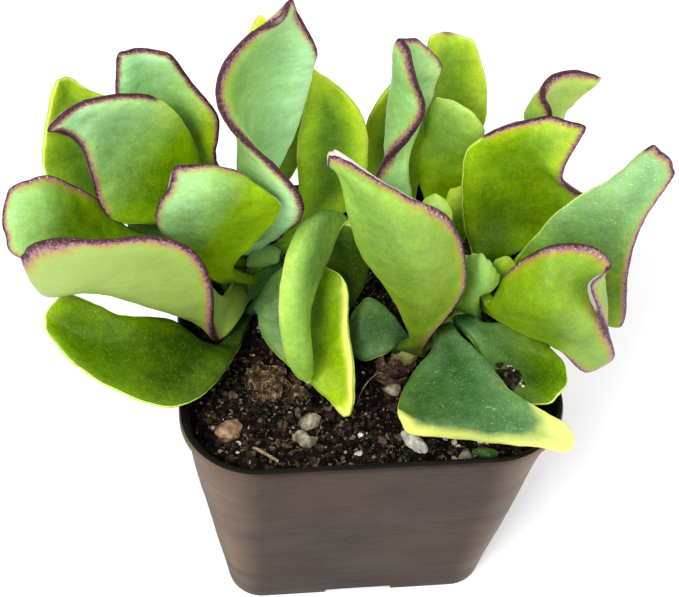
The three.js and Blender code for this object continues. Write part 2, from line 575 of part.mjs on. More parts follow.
    [[20, 31, 62], [22.5, 30.5, 61.5], [25, 29, 62]],
    [[22, 32, 65], [23, 31.5, 65], [24.5, 31, 65]],
  ] },
};

// A smooth surface through the sections: first along each row of points, then across.
function bladeGrid(root, across, sections) {
  const width = sections[0].length;
  const rails = [];
  for (let rail = 0; rail < width; rail += 1) {
    const side = (2 * rail) / (width - 1) - 1;
    const start = root.clone().addScaledVector(across, (side * LEAF_NECK) / 2);
    rails.push(new THREE.CatmullRomCurve3([start, ...sections.map((row) => point(row[rail]))]));
  }
  const grid = [];
  for (let j = 0; j <= STEPS_ALONG; j += 1) {
    const row = new THREE.CatmullRomCurve3(rails.map((rail) => rail.getPoint(j / STEPS_ALONG)));
    grid.push(Array.from({ length: STEPS_ACROSS + 1 }, (_, i) => row.getPoint(i / STEPS_ACROSS)));
  }
  return grid;
}

// The steps to the eight points round a point of the grid.
const NEIGHBOURS = [[-1, 0], [1, 0], [0, -1], [0, 1], [-1, -1], [-1, 1], [1, -1], [1, 1]];

function gridNormals(grid) {
  const { clamp } = THREE.MathUtils;
  const at = (j, i) => grid[clamp(j, 0, STEPS_ALONG)][clamp(i, 0, STEPS_ACROSS)];
  let normals = grid.map((row, j) => row.map((_, i) => {
    const along = at(j + 1, i).clone().sub(at(j - 1, i));
    const side = at(j, i + 1).clone().sub(at(j, i - 1));
    return side.cross(along).normalize();
  }));
  for (let pass = 0; pass < NORMAL_PASSES; pass += 1) {
    normals = normals.map((row, j) => row.map((normal, i) => {
      const sum = normal.clone();
      NEIGHBOURS.forEach(([stepJ, stepI]) => sum.add(normals[j + stepJ]?.[i + stepI] ?? normal));
      return sum.normalize();
    }));
  }
  return normals;
}

// The radius of the tightest bend at a point of the grid: how fast the normal turns on the way
// to a neighbour.
function bendRadius(grid, normals, j, i) {
  let tightest = Infinity;
  for (const [stepJ, stepI] of NEIGHBOURS) {
    const place = grid[j + stepJ]?.[i + stepI];
    if (place) {
      const turn = normals[j][i].distanceTo(normals[j + stepJ][i + stepI]);
      tightest = Math.min(tightest, grid[j][i].distanceTo(place) / Math.max(turn, 1e-3));
    }
  }
  return tightest;
}

// A leaf is thinner at its margins and tip, and where it bends tightly.
function leafBody(root, across, sections) {
  const grid = bladeGrid(root, across, sections);
  const normals = gridNormals(grid);
  const wide = STEPS_ACROSS + 1;
  const long = STEPS_ALONG + 1;
  const points = [];
  for (const face of [1, -1]) {
    grid.forEach((row, j) => row.forEach((place, i) => {
      const u = (2 * i) / STEPS_ACROSS - 1;
      const v = j / STEPS_ALONG;
      const fall = Math.max(u * u * Math.min(1, 3 * v), v ** 6);
      const full = LEAF_THICK + (LEAF_EDGE - LEAF_THICK) * fall;
      const bend = bendRadius(grid, normals, j, i);
      const thick = Math.max(LEAF_THIN, Math.min(full, BEND_SHARE * bend));
      points.push(place.clone().addScaledVector(normals[j][i], (face * thick) / 2));
    }));
  }
  const under = wide * long;
  const triangles = [];
  for (let j = 0; j < STEPS_ALONG; j += 1) {
    for (let i = 0; i < STEPS_ACROSS; i += 1) {
      const a = j * wide + i;
      const b = a + 1;
      const c = a + wide + 1;
      const d = a + wide;
      triangles.push(a, b, c, a, c, d);
      triangles.push(under + a, under + c, under + b, under + a, under + d, under + c);
    }
  }
  const rim = [];
  for (let i = 0; i < STEPS_ACROSS; i += 1) rim.push(i);
  for (let j = 0; j < STEPS_ALONG; j += 1) rim.push(j * wide + STEPS_ACROSS);
  for (let i = STEPS_ACROSS; i > 0; i -= 1) rim.push(STEPS_ALONG * wide + i);
  for (let j = STEPS_ALONG; j > 0; j -= 1) rim.push(j * wide);
  rim.forEach((a, k) => {
    const b = rim[(k + 1) % rim.length];
    triangles.push(a, under + a, under + b, a, under + b, b);
  });
  return body(points, triangles);
}

function makeLeaves() {
  for (const [name, leaf] of Object.entries(leaves)) {
    const stem = stems[leaf.stem];
    const axis = stem.curve.getPointAt(leaf.at);
    const upward = stem.curve.getTangentAt(leaf.at);
    const first = leaf.sections[0];
    const middle = point(first[(first.length - 1) / 2]);
    const outward = middle.clone().sub(axis);
    outward.addScaledVector(upward, -outward.dot(upward)).normalize();
    const skin = radiusAlong(stem, leaf.at) + ROOT_GAP;
    const reach = middle.clone().sub(axis).addScaledVector(outward, -skin).normalize();
    const along = reach.clone().addScaledVector(outward, -reach.dot(outward));
    const steepness = along.length();
    const root = axis.addScaledVector(outward, skin + (steepness * LEAF_THICK) / 2);
    const across = point(first.at(-1)).sub(point(first[0]));
    across.addScaledVector(outward, -across.dot(outward));
    across.addScaledVector(along, -across.dot(along) / steepness).normalize();
    addMesh(name, leafBody(root, across, leaf.sections), leaf.finish);
  }
}

makePot();
makeSoil();
makeStems();
makeStones();
makeLeaves();

export default group;
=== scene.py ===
# %% [markdown]
# A ripple jade, Crassula arborescens 'Undulatifolia', in a small square nursery pot.
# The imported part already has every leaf, stem and stone at its real size and place. This lesson
# gives each of them its fine surface and its finish: fleshy leaves with purple, dotted margins, a
# thin plastic pot with smudges on it, and a potting mix of bark, fibre, grit and perlite.
# Everything is in metres, in the part's own frame, so nothing has to be fitted afterwards.

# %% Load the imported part
import math
import random

import bmesh
import bpy
import numpy as np
from mathutils import Matrix, Vector, noise
from mathutils.bvhtree import BVHTree


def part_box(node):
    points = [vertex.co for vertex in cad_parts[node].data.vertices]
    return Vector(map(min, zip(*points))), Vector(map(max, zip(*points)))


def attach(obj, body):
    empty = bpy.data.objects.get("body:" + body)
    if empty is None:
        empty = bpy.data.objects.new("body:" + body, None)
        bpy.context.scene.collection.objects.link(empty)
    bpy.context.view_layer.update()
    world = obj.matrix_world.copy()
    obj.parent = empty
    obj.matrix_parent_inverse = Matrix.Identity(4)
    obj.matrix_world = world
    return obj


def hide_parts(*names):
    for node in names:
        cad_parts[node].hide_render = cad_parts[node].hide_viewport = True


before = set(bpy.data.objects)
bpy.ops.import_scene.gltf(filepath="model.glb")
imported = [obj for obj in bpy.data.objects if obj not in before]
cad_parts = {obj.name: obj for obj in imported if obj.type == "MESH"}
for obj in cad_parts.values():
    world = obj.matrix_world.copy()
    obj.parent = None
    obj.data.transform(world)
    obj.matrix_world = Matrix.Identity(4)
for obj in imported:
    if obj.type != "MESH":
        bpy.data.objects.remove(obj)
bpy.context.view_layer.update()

MM = 0.001

# %% [markdown]
# The camera comes first, because every later choice is judged through it. The photograph looks
# down on the plant from the front, a little from the left, through a lens of normal length. The
# camera's own right and up directions say how it is turned, and the third direction, back, is
# square to both.

# %% Place the camera as in the photograph
CAMERA_AT = Vector((-25.084, -141.232, 232.165)) * MM
CAMERA_RIGHT = Vector((0.99477, -0.09072, 0.04700))
CAMERA_UP = Vector((0.04011, 0.76988, 0.63693))
CAMERA_BACK = CAMERA_RIGHT.cross(CAMERA_UP)
SENSOR_WIDTH = 36
FOCAL_LENGTH = 68.93
NEAREST, FARTHEST = 0.01, 10

lens = bpy.data.cameras.new("camera")
lens.sensor_width = SENSOR_WIDTH
lens.lens = FOCAL_LENGTH
lens.clip_start = NEAREST
lens.clip_end = FARTHEST
camera = bpy.data.objects.new("camera", lens)
bpy.context.scene.collection.objects.link(camera)
turn = Matrix((CAMERA_RIGHT, CAMERA_UP, CAMERA_BACK)).transposed()
camera.matrix_world = Matrix.Translation(CAMERA_AT) @ turn.to_4x4()
bpy.context.scene.camera = camera
print("The camera looks down by", round(math.degrees(math.asin(CAMERA_BACK.z))), "degrees")

# %% [markdown]
# Some small helpers make the later cells short. An operator acts on everything that is selected,
# and loading the part leaves its nodes selected, so each helper first selects one piece alone.

# %% Helpers for selecting and editing a piece
def pick_only(piece):
    """Selects one object and nothing else."""
    bpy.ops.object.select_all(action="DESELECT")
    bpy.context.view_layer.objects.active = piece
    piece.select_set(True)


def new_piece(add, name, **settings):
    """Adds one primitive while nothing else is selected, and names it."""
    bpy.ops.object.select_all(action="DESELECT")
    add(**settings)
    bpy.context.object.name = name
    return bpy.context.object


def edit(piece, *steps):
    """Runs the steps in edit mode, with the whole piece selected at the start."""
    pick_only(piece)
    bpy.ops.object.mode_set(mode="EDIT")
    bpy.ops.mesh.select_all(action="SELECT")
    for step in steps:
        step()
    bpy.ops.object.mode_set(mode="OBJECT")


def pick_parts(piece, kind, wanted):
    """In edit mode, selects the verts, edges or faces for which wanted is true."""
    bpy.ops.mesh.select_mode(type=kind)
    bpy.ops.mesh.select_all(action="DESELECT")
    cage = bmesh.from_edit_mesh(piece.data)
    for part in {"VERT": cage.verts, "EDGE": cage.edges, "FACE": cage.faces}[kind]:
        if wanted(part):
            part.select_set(True)
    bmesh.update_edit_mesh(piece.data)


def face_outwards():
    """In edit mode, turns every face of a closed piece outwards."""
    bpy.ops.mesh.select_all(action="SELECT")
    bpy.ops.mesh.normals_make_consistent(inside=False)


def modify(piece, kind, **settings):
    """Adds one modifier, sets it and applies it."""
    modifier = piece.modifiers.new(kind.title(), kind)
    for name, value in settings.items():
        setattr(modifier, name, value)
    pick_only(piece)
    bpy.ops.object.modifier_apply(modifier=modifier.name)


# %% Helpers for a piece's points, shading and place in the part
def places(piece):
    """The piece's points as rows of three numbers, in metres."""
    numbers = np.empty(len(piece.data.vertices) * 3)
    piece.data.vertices.foreach_get("co", numbers)
    return numbers.reshape(-1, 3)


def set_places(piece, points):
    piece.data.vertices.foreach_set("co", np.asarray(points, float).ravel())
    piece.data.update()


def copy_node(node):
    """A merged copy of a CAD node, whose own mesh is loose triangles."""
    piece = bpy.data.objects.new("fine_" + node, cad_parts[node].data.copy())
    bpy.context.scene.collection.objects.link(piece)
    edit(piece, lambda: bpy.ops.mesh.remove_doubles(threshold=0.001 * MM))
    return piece


def skin_tree(piece, unit=1):
    """The piece's faces, ready to be searched for the nearest place, in a unit of length."""
    return BVHTree.FromPolygons([v.co / unit for v in piece.data.vertices],
                                [p.vertices[:] for p in piece.data.polygons])


def shade_smooth(piece, degrees=None):
    """Shades the piece smoothly all over, or only where its faces meet at less than an angle."""
    pick_only(piece)
    if degrees is None:
        bpy.ops.object.shade_smooth()
    else:
        bpy.ops.object.shade_smooth_by_angle(angle=math.radians(degrees))


def cover(piece, material):
    """Gives the piece one material."""
    piece.data.materials.clear()
    piece.data.materials.append(material)


def belongs(piece, slot, *nodes):
    """The piece rides with the part and stands for these nodes, which it hides. The slot is not
    used.
    """
    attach(piece, "root")
    if nodes:
        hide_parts(*nodes)


# %% [markdown]
# Materials are networks of nodes. Writing them out in full takes many lines, so a small class adds
# a node, sets its values and links whatever comes from another node. A value that is the same all
# over a surface is set on the shader's own socket.

# %% A short way to write materials
class Finish:
    """A material, with one method for each kind of node that this lesson uses."""

    def __init__(self, name):
        self.material = bpy.data.materials.new(name)
        self.material.use_nodes = True
        self.tree = self.material.node_tree
        self.tree.nodes.clear()

    def add(self, kind, values=None, **settings):
        made = self.tree.nodes.new("ShaderNode" + kind)
        for name, value in settings.items():
            setattr(made, name, value)
        for key, value in (values or {}).items():
            if isinstance(value, bpy.types.NodeSocket):
                self.tree.links.new(value, made.inputs[key])
            else:
                made.inputs[key].default_value = value
        return made

    def place(self, stretch=(1, 1, 1)):
        """Places on the object in millimetres, stretched along each axis."""
        raw = self.add("TexCoord").outputs["Object"]
        scale = [1000 * share for share in stretch]
        return self.add("Mapping", {"Vector": raw, "Scale": scale}).outputs["Vector"]

    def axes(self):
        """The same places as three numbers, X, Y and Z."""
        return self.add("SeparateXYZ", {"Vector": self.place()}).outputs

    def value(self, name):
        """A number that the piece's own mesh carries at each point."""
        return self.add("Attribute", attribute_name=name).outputs["Fac"]

    def math(self, operation, a, b=0.0, clamp=False):
        return self.add("Math", {0: a, 1: b}, operation=operation, use_clamp=clamp).outputs[0]

    def plus(self, a, b):
        return self.math("ADD", a, b)

    def minus(self, a, b):
        return self.math("SUBTRACT", a, b)

    def times(self, a, b, clamp=False):
        return self.math("MULTIPLY", a, b, clamp)

    def noise(self, size, detail=3.0, where=None, rough=0.55):
        """Soft random values from 0 to 1, in patches of about that size in millimetres."""
        return self.add("TexNoise", {"Vector": where or self.place(), "Scale": 1 / size,
                                     "Detail": detail, "Roughness": rough}).outputs["Fac"]

    def cells(self, size, output="Distance"):
        """Random cells of about that size in millimetres."""
        return self.add("TexVoronoi", {"Vector": self.place(), "Scale": 1 / size}).outputs[output]

    def fade(self, value, start, end, low=0.0, high=1.0):
        """Turns the stretch from start to end into low to high, smoothly, and holds it outside."""
        return self.add("MapRange", {"Value": value, "From Min": start, "From Max": end,
                                     "To Min": low, "To Max": high},
                        interpolation_type="SMOOTHSTEP").outputs[0]

    def mix(self, share, a, b):
        return self.add("Mix", {0: share, 6: a, 7: b}, data_type="RGBA").outputs[2]

    def ramp(self, value, *stops):
        made = self.add("ValToRGB", {"Fac": value})
        band = made.color_ramp
        while len(band.elements) < len(stops):
            band.elements.new(0.5)
        for element, (at, shade) in zip(band.elements, stops):
            element.position = at
            element.color = shade
        return made.outputs["Color"]

    def bump(self, height, depth, under=None):
        """A normal from a height of 0 to 1 that stands for depth in millimetres."""
        values = {"Height": height, "Strength": 1.0, "Distance": depth * MM}
        if under is not None:
            values["Normal"] = under
        return self.add("Bump", values).outputs["Normal"]

    def surface(self, **values):
        """Ends the material with a shader, whose sockets are named with _ for a space."""
        shader = self.add("BsdfPrincipled", {k.replace("_", " "): v for k, v in values.items()})
        out = self.add("OutputMaterial")
        self.tree.links.new(shader.outputs[0], out.inputs["Surface"])
        return self.material


def colour(red, green, blue):
    """A colour as it looks on a screen, from 0 to 255, as the linear numbers of a shader."""
    linear = [c / 12.92 if c <= 0.04045 else ((c + 0.055) / 1.055) ** 2.4
              for c in (red / 255, green / 255, blue / 255)]
    return (*linear, 1.0)


print("Materials can be written now")

# %% [markdown]
# The pot is one thin, tapered wall of black plastic with round corners. It is drawn from a circle:
# its points are pushed out to a rounded square, and the face is extruded up the outside, over the
# lip and down the inside, taking a new rounded square at each height. That gives an even mesh with
# the true taper, where scaling a bevelled cube would also change the corners.

# %% The pot's sizes, read from its CAD node
pot_low, pot_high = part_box("pot")
POT_HEIGHT = (pot_high.z - pot_low.z) / MM
LIP_WIDTH = (pot_high.x - pot_low.x) / MM
LIP_CORNER = 13
LIP_OVERHANG = 0.7
SIDE_TOP = POT_HEIGHT - 2
FOOT_WIDTH = 49.5
FOOT_CORNER = 6.5
WALL = 1.1
POT_FLOOR = 2
POT_POINTS = 192
print("The pot is", round(POT_HEIGHT), "mm high and", round(LIP_WIDTH), "mm across its lip")


def rounded_reach(angle, width, corner):
    """How far a rounded square's outline lies from its middle in one direction."""
    along, aside = abs(math.cos(angle)), abs(math.sin(angle))
    inner = width / 2 - corner
    reach = width / 2 / max(along, aside)
    if reach * min(along, aside) <= inner:
        return reach
    middle = inner * (along + aside)
    return middle + math.sqrt(max(0, middle * middle - 2 * inner * inner + corner * corner))


def side_size(height):
    """Width and corner of the outer wall at one height."""
    share = height / SIDE_TOP
    return (FOOT_WIDTH + (LIP_WIDTH - 2 * LIP_OVERHANG - FOOT_WIDTH) * share,
            FOOT_CORNER + (LIP_CORNER - LIP_OVERHANG - FOOT_CORNER) * share)


def ring(height, inset=0.0):
    """One rounded square: its height, width and corner."""
    width, corner = side_size(min(height, SIDE_TOP))
    return height, width - 2 * inset, corner - inset


# %% Model the pot by extruding one rounded square
WALL_STEPS = 20
FOOT_RINGS = [(0, 0.35), (0.15, 0.1), (0.5, 0)]
WALL_START, WALL_RISE = 0.5, SIDE_TOP - 0.7
# Each ring of the lip: its height, how much narrower than the lip it is, and how much sharper.
LIP_RINGS = [(SIDE_TOP, 0.5, 0.25), (SIDE_TOP + 0.3, 0, 0), (SIDE_TOP + 1.2, 0, 0),
             (POT_HEIGHT - 0.45, 0.1, 0), (POT_HEIGHT - 0.12, 0.5, 0.25), (POT_HEIGHT, 1.2, 0.6),
             (POT_HEIGHT - 0.1, 2.2, 1.1), (POT_HEIGHT - 0.6, 2.9, 1.5)]

rings = [ring(height, inset) for height, inset in FOOT_RINGS]
rings += [ring(WALL_START + WALL_RISE * k / WALL_STEPS) for k in range(1, WALL_STEPS + 1)]
rings += [(height, LIP_WIDTH - narrower, LIP_CORNER - sharper)
          for height, narrower, sharper in LIP_RINGS]
rings += [ring(height, WALL) for height in (SIDE_TOP - 1, SIDE_TOP - 4, 40, 25, POT_FLOOR)]
pot = new_piece(bpy.ops.mesh.primitive_circle_add, "pot_shell", vertices=POT_POINTS,
                radius=FOOT_WIDTH / 2 * MM, fill_type="NGON")


def shape_selected(size):
    """Puts the selected points on a rounded square."""
    height, width, corner = size
    cage = bmesh.from_edit_mesh(pot.data)
    for point in cage.verts:
        if point.select:
            angle = math.atan2(point.co.y, point.co.x)
            reach = rounded_reach(angle, width, corner)
            point.co = Vector((reach * math.cos(angle), reach * math.sin(angle), height)) * MM
    bmesh.update_edit_mesh(pot.data)


def extrude_pot():
    shape_selected(rings[0])
    for size in rings[1:]:
        bpy.ops.mesh.extrude_region_move()
        shape_selected(size)


edit(pot, extrude_pot, face_outwards)
print("The pot's wall has", len(pot.data.polygons), "faces before its notches are cut")

# %% [markdown]
# The thin wall isn't quite flat: it bows in and out by a few tenths of a millimetre. Soft noise
# moves its points outwards and inwards, less near the foot and the lip, which are stiffer. The
# notch in the middle of each side's foot and the drain slot beside it are then cut with a box each.

# %% Bow the walls
BOW = 0.35
BOW_LONG, BOW_SHORT, SHORT_SHARE = 16, 5, 0.35
STIFF_FOOT, STIFF_LIP = 6, 3

bowed = places(pot)
for k, place in enumerate(bowed):
    height = place[2] / MM
    if 1 < height < SIDE_TOP - 1:
        out = np.array(Vector((place[0], place[1], 0)).normalized())
        push = noise.noise(Vector(place) / (BOW_LONG * MM))
        push += SHORT_SHARE * noise.noise(Vector(place) / (BOW_SHORT * MM))
        free = min(1, (height - 1) / STIFF_FOOT, (SIDE_TOP - 1 - height) / STIFF_LIP)
        bowed[k] += out * push * BOW * MM * free
set_places(pot, bowed)
print("The walls bow by up to", BOW, "mm")

# %% Cut the notches and drain slots
NOTCH = (13, 5, 1.6)
DRAIN = (7, 2.2, 4)
DRAIN_INSET = 2.6


def cut_box(size, inwards, quarter):
    """Cuts a box out of the foot, at a distance inwards from the edge, on one of four sides."""
    cutter = new_piece(bpy.ops.mesh.primitive_cube_add, "cutter", size=1)
    spin = Matrix.Rotation(quarter * math.pi / 2, 4, "Z")
    at = Matrix.Translation(Vector((0, -(FOOT_WIDTH / 2 - inwards), 0)) * MM)
    cutter.data.transform(spin @ at @ Matrix.Diagonal((*(s * MM for s in size), 1)))
    modify(pot, "BOOLEAN", object=cutter, operation="DIFFERENCE", solver="EXACT")
    bpy.data.objects.remove(cutter)


for quarter in range(4):
    cut_box((NOTCH[0], NOTCH[1], 2 * NOTCH[2]), NOTCH[1] / 2 - 1, quarter)
    cut_box((DRAIN[0], DRAIN[1], 2 * DRAIN[2]), DRAIN_INSET, quarter)
shade_smooth(pot, 40)
belongs(pot, "pot_plastic", "pot")
print("The finished pot has", len(pot.data.polygons), "faces")

# %% [markdown]
# The plastic is black, but handling, hard water and dried compost leave a thin brown-grey film on
# its outside, streaked along the wall, paler at the corners where it is held, and scuffed. The lip
# and the inside stay clean and glossy. Height on the object tells the lip apart, and a wall that
# faces the middle is the inside, so no second piece is needed.

# %% The pot's plastic
def pot_plastic():
    made = Finish("pot_plastic")
    spot = made.axes()
    smear = made.noise(9, 5, made.place((0.35, 0.35, 1.6)), 0.62)
    fine = made.noise(1.1, 4, made.place((0.4, 0.4, 1.4)), 0.6)
    cloud = made.noise(24, 3)
    film = made.plus(made.times(smear, 0.7), made.times(cloud, 0.55))
    dusty = made.ramp(film, (0.34, colour(26, 17, 12)), (0.56, colour(42, 30, 22)),
                      (0.8, colour(64, 48, 36)))
    dusty = made.mix(made.fade(fine, 0.45, 0.75, 0, 0.3), dusty, colour(84, 69, 57))
    scuff = made.fade(made.noise(2.4, 6, made.place((0.15, 0.15, 2.2)), 0.7), 0.62, 0.72)
    dusty = made.mix(made.times(scuff, 0.6), dusty, colour(16, 12, 10))
    corner = made.math("MINIMUM", made.math("ABSOLUTE", spot["X"]),
                       made.math("ABSOLUTE", spot["Y"]))
    handled = made.times(made.fade(corner, 17, 28), made.fade(cloud, 0.35, 0.6, 0.5, 0.9))
    dusty = made.mix(handled, dusty, colour(124, 102, 82))

    normal = made.add("NewGeometry").outputs["Normal"]
    outwards = made.add("VectorMath", {0: normal, 1: made.place((1, 1, 0))},
                        operation="DOT_PRODUCT").outputs["Value"]
    lip = made.fade(spot["Z"], POT_HEIGHT - 0.3, POT_HEIGHT - 0.1)
    unsoiled = made.math("MAXIMUM", lip, made.fade(outwards, -1, -3))
    specks = made.fade(made.cells(1.7), 0.09, 0.05)
    rare = made.fade(made.noise(5, 1), 0.6, 0.64)
    clean = made.mix(made.times(specks, rare), colour(20, 18, 17), colour(178, 172, 160))

    rough = made.fade(unsoiled, 0, 1, 0.52, 0.2)
    rough = made.plus(rough, made.fade(smear, 0.3, 0.8, -0.07, 0.1))
    bump = made.bump(smear, 0.12, made.bump(fine, 0.03))
    return made.surface(Base_Color=made.mix(unsoiled, dusty, clean), Roughness=rough,
                        Specular_IOR_Level=0.25, Normal=bump)


cover(pot, pot_plastic())
print("The pot has", len(pot.data.materials), "material")

# %% [markdown]
# The potting mix is dark peat with bark, coir, grit and perlite. Its body is a grid cut to the
# pot's outline and raised by layers of noise, because a bump alone would leave a flat edge against
# the wall. The loose bits that lie on it are added afterwards as small pieces.

# %% Model the top of the mix
MIX_LEVEL = 50
MIX_BOTTOM = 44
MIX_CELLS = 170
GAP_TO_WALL = 0.05
MIX_WIDTH, MIX_CORNER = side_size(MIX_LEVEL)
MIX_WIDTH -= 2 * (WALL + GAP_TO_WALL)
MIX_CORNER -= WALL


def mix_height(x, y):
    """Height of the mix in millimetres, at a place in millimetres."""
    broad = 0.5 * math.sin(0.55 * x + 1.3) * math.cos(0.48 * y)
    broad += 0.35 * math.sin(1.15 * x - 0.9 * y + 0.6)
    crumbs = noise.fractal(Vector((x / 2.6, y / 2.6, 1.7)), 0.8, 2.1, 4)
    lumps = 0.5 - noise.voronoi(Vector((x / 2.2, y / 2.2, 0.4)))[0][0]
    grains = 0.5 - noise.voronoi(Vector((x / 0.9, y / 0.9, 2.3)))[0][0]
    return MIX_LEVEL - 0.4 + 0.8 * broad + 0.6 * crumbs + 0.9 * lumps + 0.4 * grains


def mix_reach(x, y):
    """How far the mix goes from the middle of the pot, in the direction of a place."""
    return rounded_reach(math.atan2(y, x), MIX_WIDTH, MIX_CORNER)


mix = new_piece(bpy.ops.mesh.primitive_grid_add, "potting_mix_top", x_subdivisions=MIX_CELLS,
                y_subdivisions=MIX_CELLS, size=(MIX_WIDTH + 1) * MM)


def outside_pot(part):
    x, y = part.co.x / MM, part.co.y / MM
    return math.hypot(x, y) > mix_reach(x, y)


def cut_to_pot():
    pick_parts(mix, "VERT", outside_pot)
    bpy.ops.mesh.delete(type="VERT")


def close_below():
    down = {"value": (0, 0, (MIX_BOTTOM - MIX_LEVEL) * MM)}
    bpy.ops.mesh.select_mode(type="EDGE")
    bpy.ops.mesh.select_all(action="DESELECT")
    bpy.ops.mesh.select_non_manifold(extend=False)
    bpy.ops.mesh.extrude_region_move(TRANSFORM_OT_translate=down)
    bpy.ops.mesh.edge_face_add()


edit(mix, cut_to_pot)
raised = places(mix)
raised[:, 2] = [mix_height(x / MM, y / MM) * MM for x, y in raised[:, :2]]
set_places(mix, raised)
edit(mix, close_below, face_outwards)
shade_smooth(mix, 55)
belongs(mix, "potting_mix", "soil")
print("The mix has", len(mix.data.polygons), "faces")

# %% [markdown]
# Peat is nearly black, with browner crumbs through it. The crumbs' colour comes from cells of
# noise, one shade to a cell, so that each crumb reads as its own bit.

# %% The finish of the mix and of its crumbs
def potting_mix():
    made = Finish("potting_mix")
    shade = made.cells(0.8, "Color")
    grain = made.noise(0.5, 5, rough=0.7)
    patch = made.noise(5, 3)
    crumb = made.ramp(shade, (0.1, colour(14, 11, 9)), (0.5, colour(28, 21, 17)),
                      (0.75, colour(74, 57, 46)), (0.93, colour(136, 114, 92)))
    base = made.mix(made.fade(grain, 0.35, 0.65), colour(10, 8, 7), crumb)
    base = made.mix(made.fade(patch, 0.4, 0.7, 0, 0.6), base, colour(9, 7, 6))
    fleck = made.fade(made.cells(0.4, "Color"), 0.84, 0.9, 0, 0.8)
    base = made.mix(fleck, base, colour(150, 130, 108))
    bump = made.bump(grain, 0.25, made.bump(made.cells(0.7), 0.2))
    return made.surface(Base_Color=base, Roughness=0.85, Specular_IOR_Level=0.2, Normal=bump)


def crumb_bark():
    made = Finish("crumb_bark")
    shade = made.cells(1.3, "Color")
    grain = made.noise(0.35, 4, made.place((1, 1, 2.5)), 0.7)
    base = made.ramp(shade, (0.15, colour(20, 14, 12)), (0.45, colour(54, 39, 31)),
                     (0.65, colour(96, 74, 60)), (0.9, colour(172, 146, 120)))
    base = made.mix(made.fade(grain, 0.42, 0.68, 0.7, 0), base, colour(22, 16, 13))
    return made.surface(Base_Color=base, Roughness=0.8, Specular_IOR_Level=0.25,
                        Normal=made.bump(grain, 0.15))


mix_finish = potting_mix()
bark_finish = crumb_bark()
cover(mix, mix_finish)
print("Finishes so far:", [material.name for material in (mix_finish, bark_finish)])

# %% [markdown]
# The stones and bark lumps are in the part already, as plain lumps. A merged copy of each is
# subdivided, and noise breaks its even skin up. Grit stones are chipped, so their copies are then
# cut back to a few dozen flat facets with narrow bevels between them, where noise alone would make
# them look like dough. Copies keep their place, so each still sits in its socket in the mix.

# %% Roughen the stones and the bark
STONE_LEVELS = 4
FACETS = 44
FACET_BEVEL = 0.1


def roughen(piece, size, depth, sharp=0.0, seed=0.0):
    """Moves each point along its normal by noise, in patches of a size, both in millimetres."""
    points = places(piece)
    normals = np.empty_like(points).ravel()
    piece.data.vertices.foreach_get("normal", normals)
    normals = normals.reshape(-1, 3)
    for k, point in enumerate(points):
        spot = Vector(point) / (size * MM) + Vector((seed, 0, 0))
        soft = noise.fractal(spot, 0.9, 2.2, 3)
        edgy = 0.5 - noise.voronoi(spot * 0.8)[0][0]
        points[k] += normals[k] * ((1 - sharp) * soft + sharp * edgy) * depth * MM
    set_places(piece, points)


def cut_facets(piece, facets, seed):
    """Cuts a lump back to about a number of flat facets, with a fine grain on them."""
    modify(piece, "DECIMATE", ratio=facets / (2 * len(piece.data.polygons)))
    modify(piece, "BEVEL", width=FACET_BEVEL * MM, segments=2, limit_method="ANGLE",
           angle_limit=math.radians(12))
    modify(piece, "SUBSURF", subdivision_type="SIMPLE", levels=2, render_levels=2)
    roughen(piece, 0.7, 0.06, seed=seed)


def fine_lump(node, slot, material, size, depth, sharp, facets=0, shift=(0, 0, 0)):
    """A rough copy of a lump, with flat facets when their number is given."""
    piece = copy_node(node)
    piece.data.transform(Matrix.Translation(Vector(shift) * MM))
    modify(piece, "SUBSURF", levels=STONE_LEVELS, render_levels=STONE_LEVELS)
    roughen(piece, size, depth, sharp, seed=len(node))
    if facets:
        cut_facets(piece, facets, len(node))
    shade_smooth(piece, 35)
    cover(piece, material)
    belongs(piece, slot, node)


# %% The finishes of stone and of fibrous bark, and the finished lumps
def stone(name, dark, light, vein):
    made = Finish(name)
    grain = made.noise(0.35, 5, rough=0.7)
    base = made.mix(made.fade(made.noise(1.7, 3), 0.35, 0.65), dark, light)
    base = made.mix(made.fade(grain, 0.58, 0.7, 0, 0.7), base, vein)
    dirt = made.fade(made.noise(0.9, 4), 0.5, 0.72, 0, 0.55)
    base = made.mix(dirt, base, colour(48, 38, 30))
    return made.surface(Base_Color=base, Roughness=0.75, Normal=made.bump(grain, 0.1))


def coir():
    made = Finish("coir_bark")
    strand = made.noise(0.8, 6, made.place((2.2, 0.5, 1.4)), 0.75)
    base = made.ramp(strand, (0.3, colour(16, 11, 8)), (0.55, colour(46, 33, 24)),
                     (0.75, colour(92, 70, 52)))
    worn = made.fade(made.noise(2.2, 3), 0.45, 0.7, 0, 0.5)
    base = made.mix(worn, base, colour(26, 19, 14))
    return made.surface(Base_Color=base, Roughness=0.9, Normal=made.bump(strand, 0.3))


tan_stone = stone("tan_stone", colour(112, 92, 76), colour(178, 142, 108), colour(90, 70, 54))
grey_stone = stone("grey_stone", colour(104, 96, 82), colour(168, 158, 136), colour(74, 68, 58))
pale_stone = stone("pale_stone", colour(160, 158, 146), colour(214, 212, 200),
                   colour(120, 118, 108))
coir_bark = coir()

fine_lump("stone_tan", "tan_stone", tan_stone, 2.6, 1.0, 0.3, FACETS)
for node in ("stone_grey", "stone_back", "stone_right"):
    fine_lump(node, "grey_stone", grey_stone, 2, 0.8, 0.3, FACETS)
# The photograph shows this one a little nearer to its neighbour than the part does.
fine_lump("stone_grey_low", "grey_stone", grey_stone, 2, 0.8, 0.3, FACETS, shift=(0.4, 1.2, 0))
fine_lump("stone_white", "grey_stone", pale_stone, 2.2, 0.35, 0.5)
for node in ("bark_clump", "bark_chip"):
    fine_lump(node, "bark", coir_bark, 1.3, 1.1, 0.3)
print("Stones and bark are rough now")

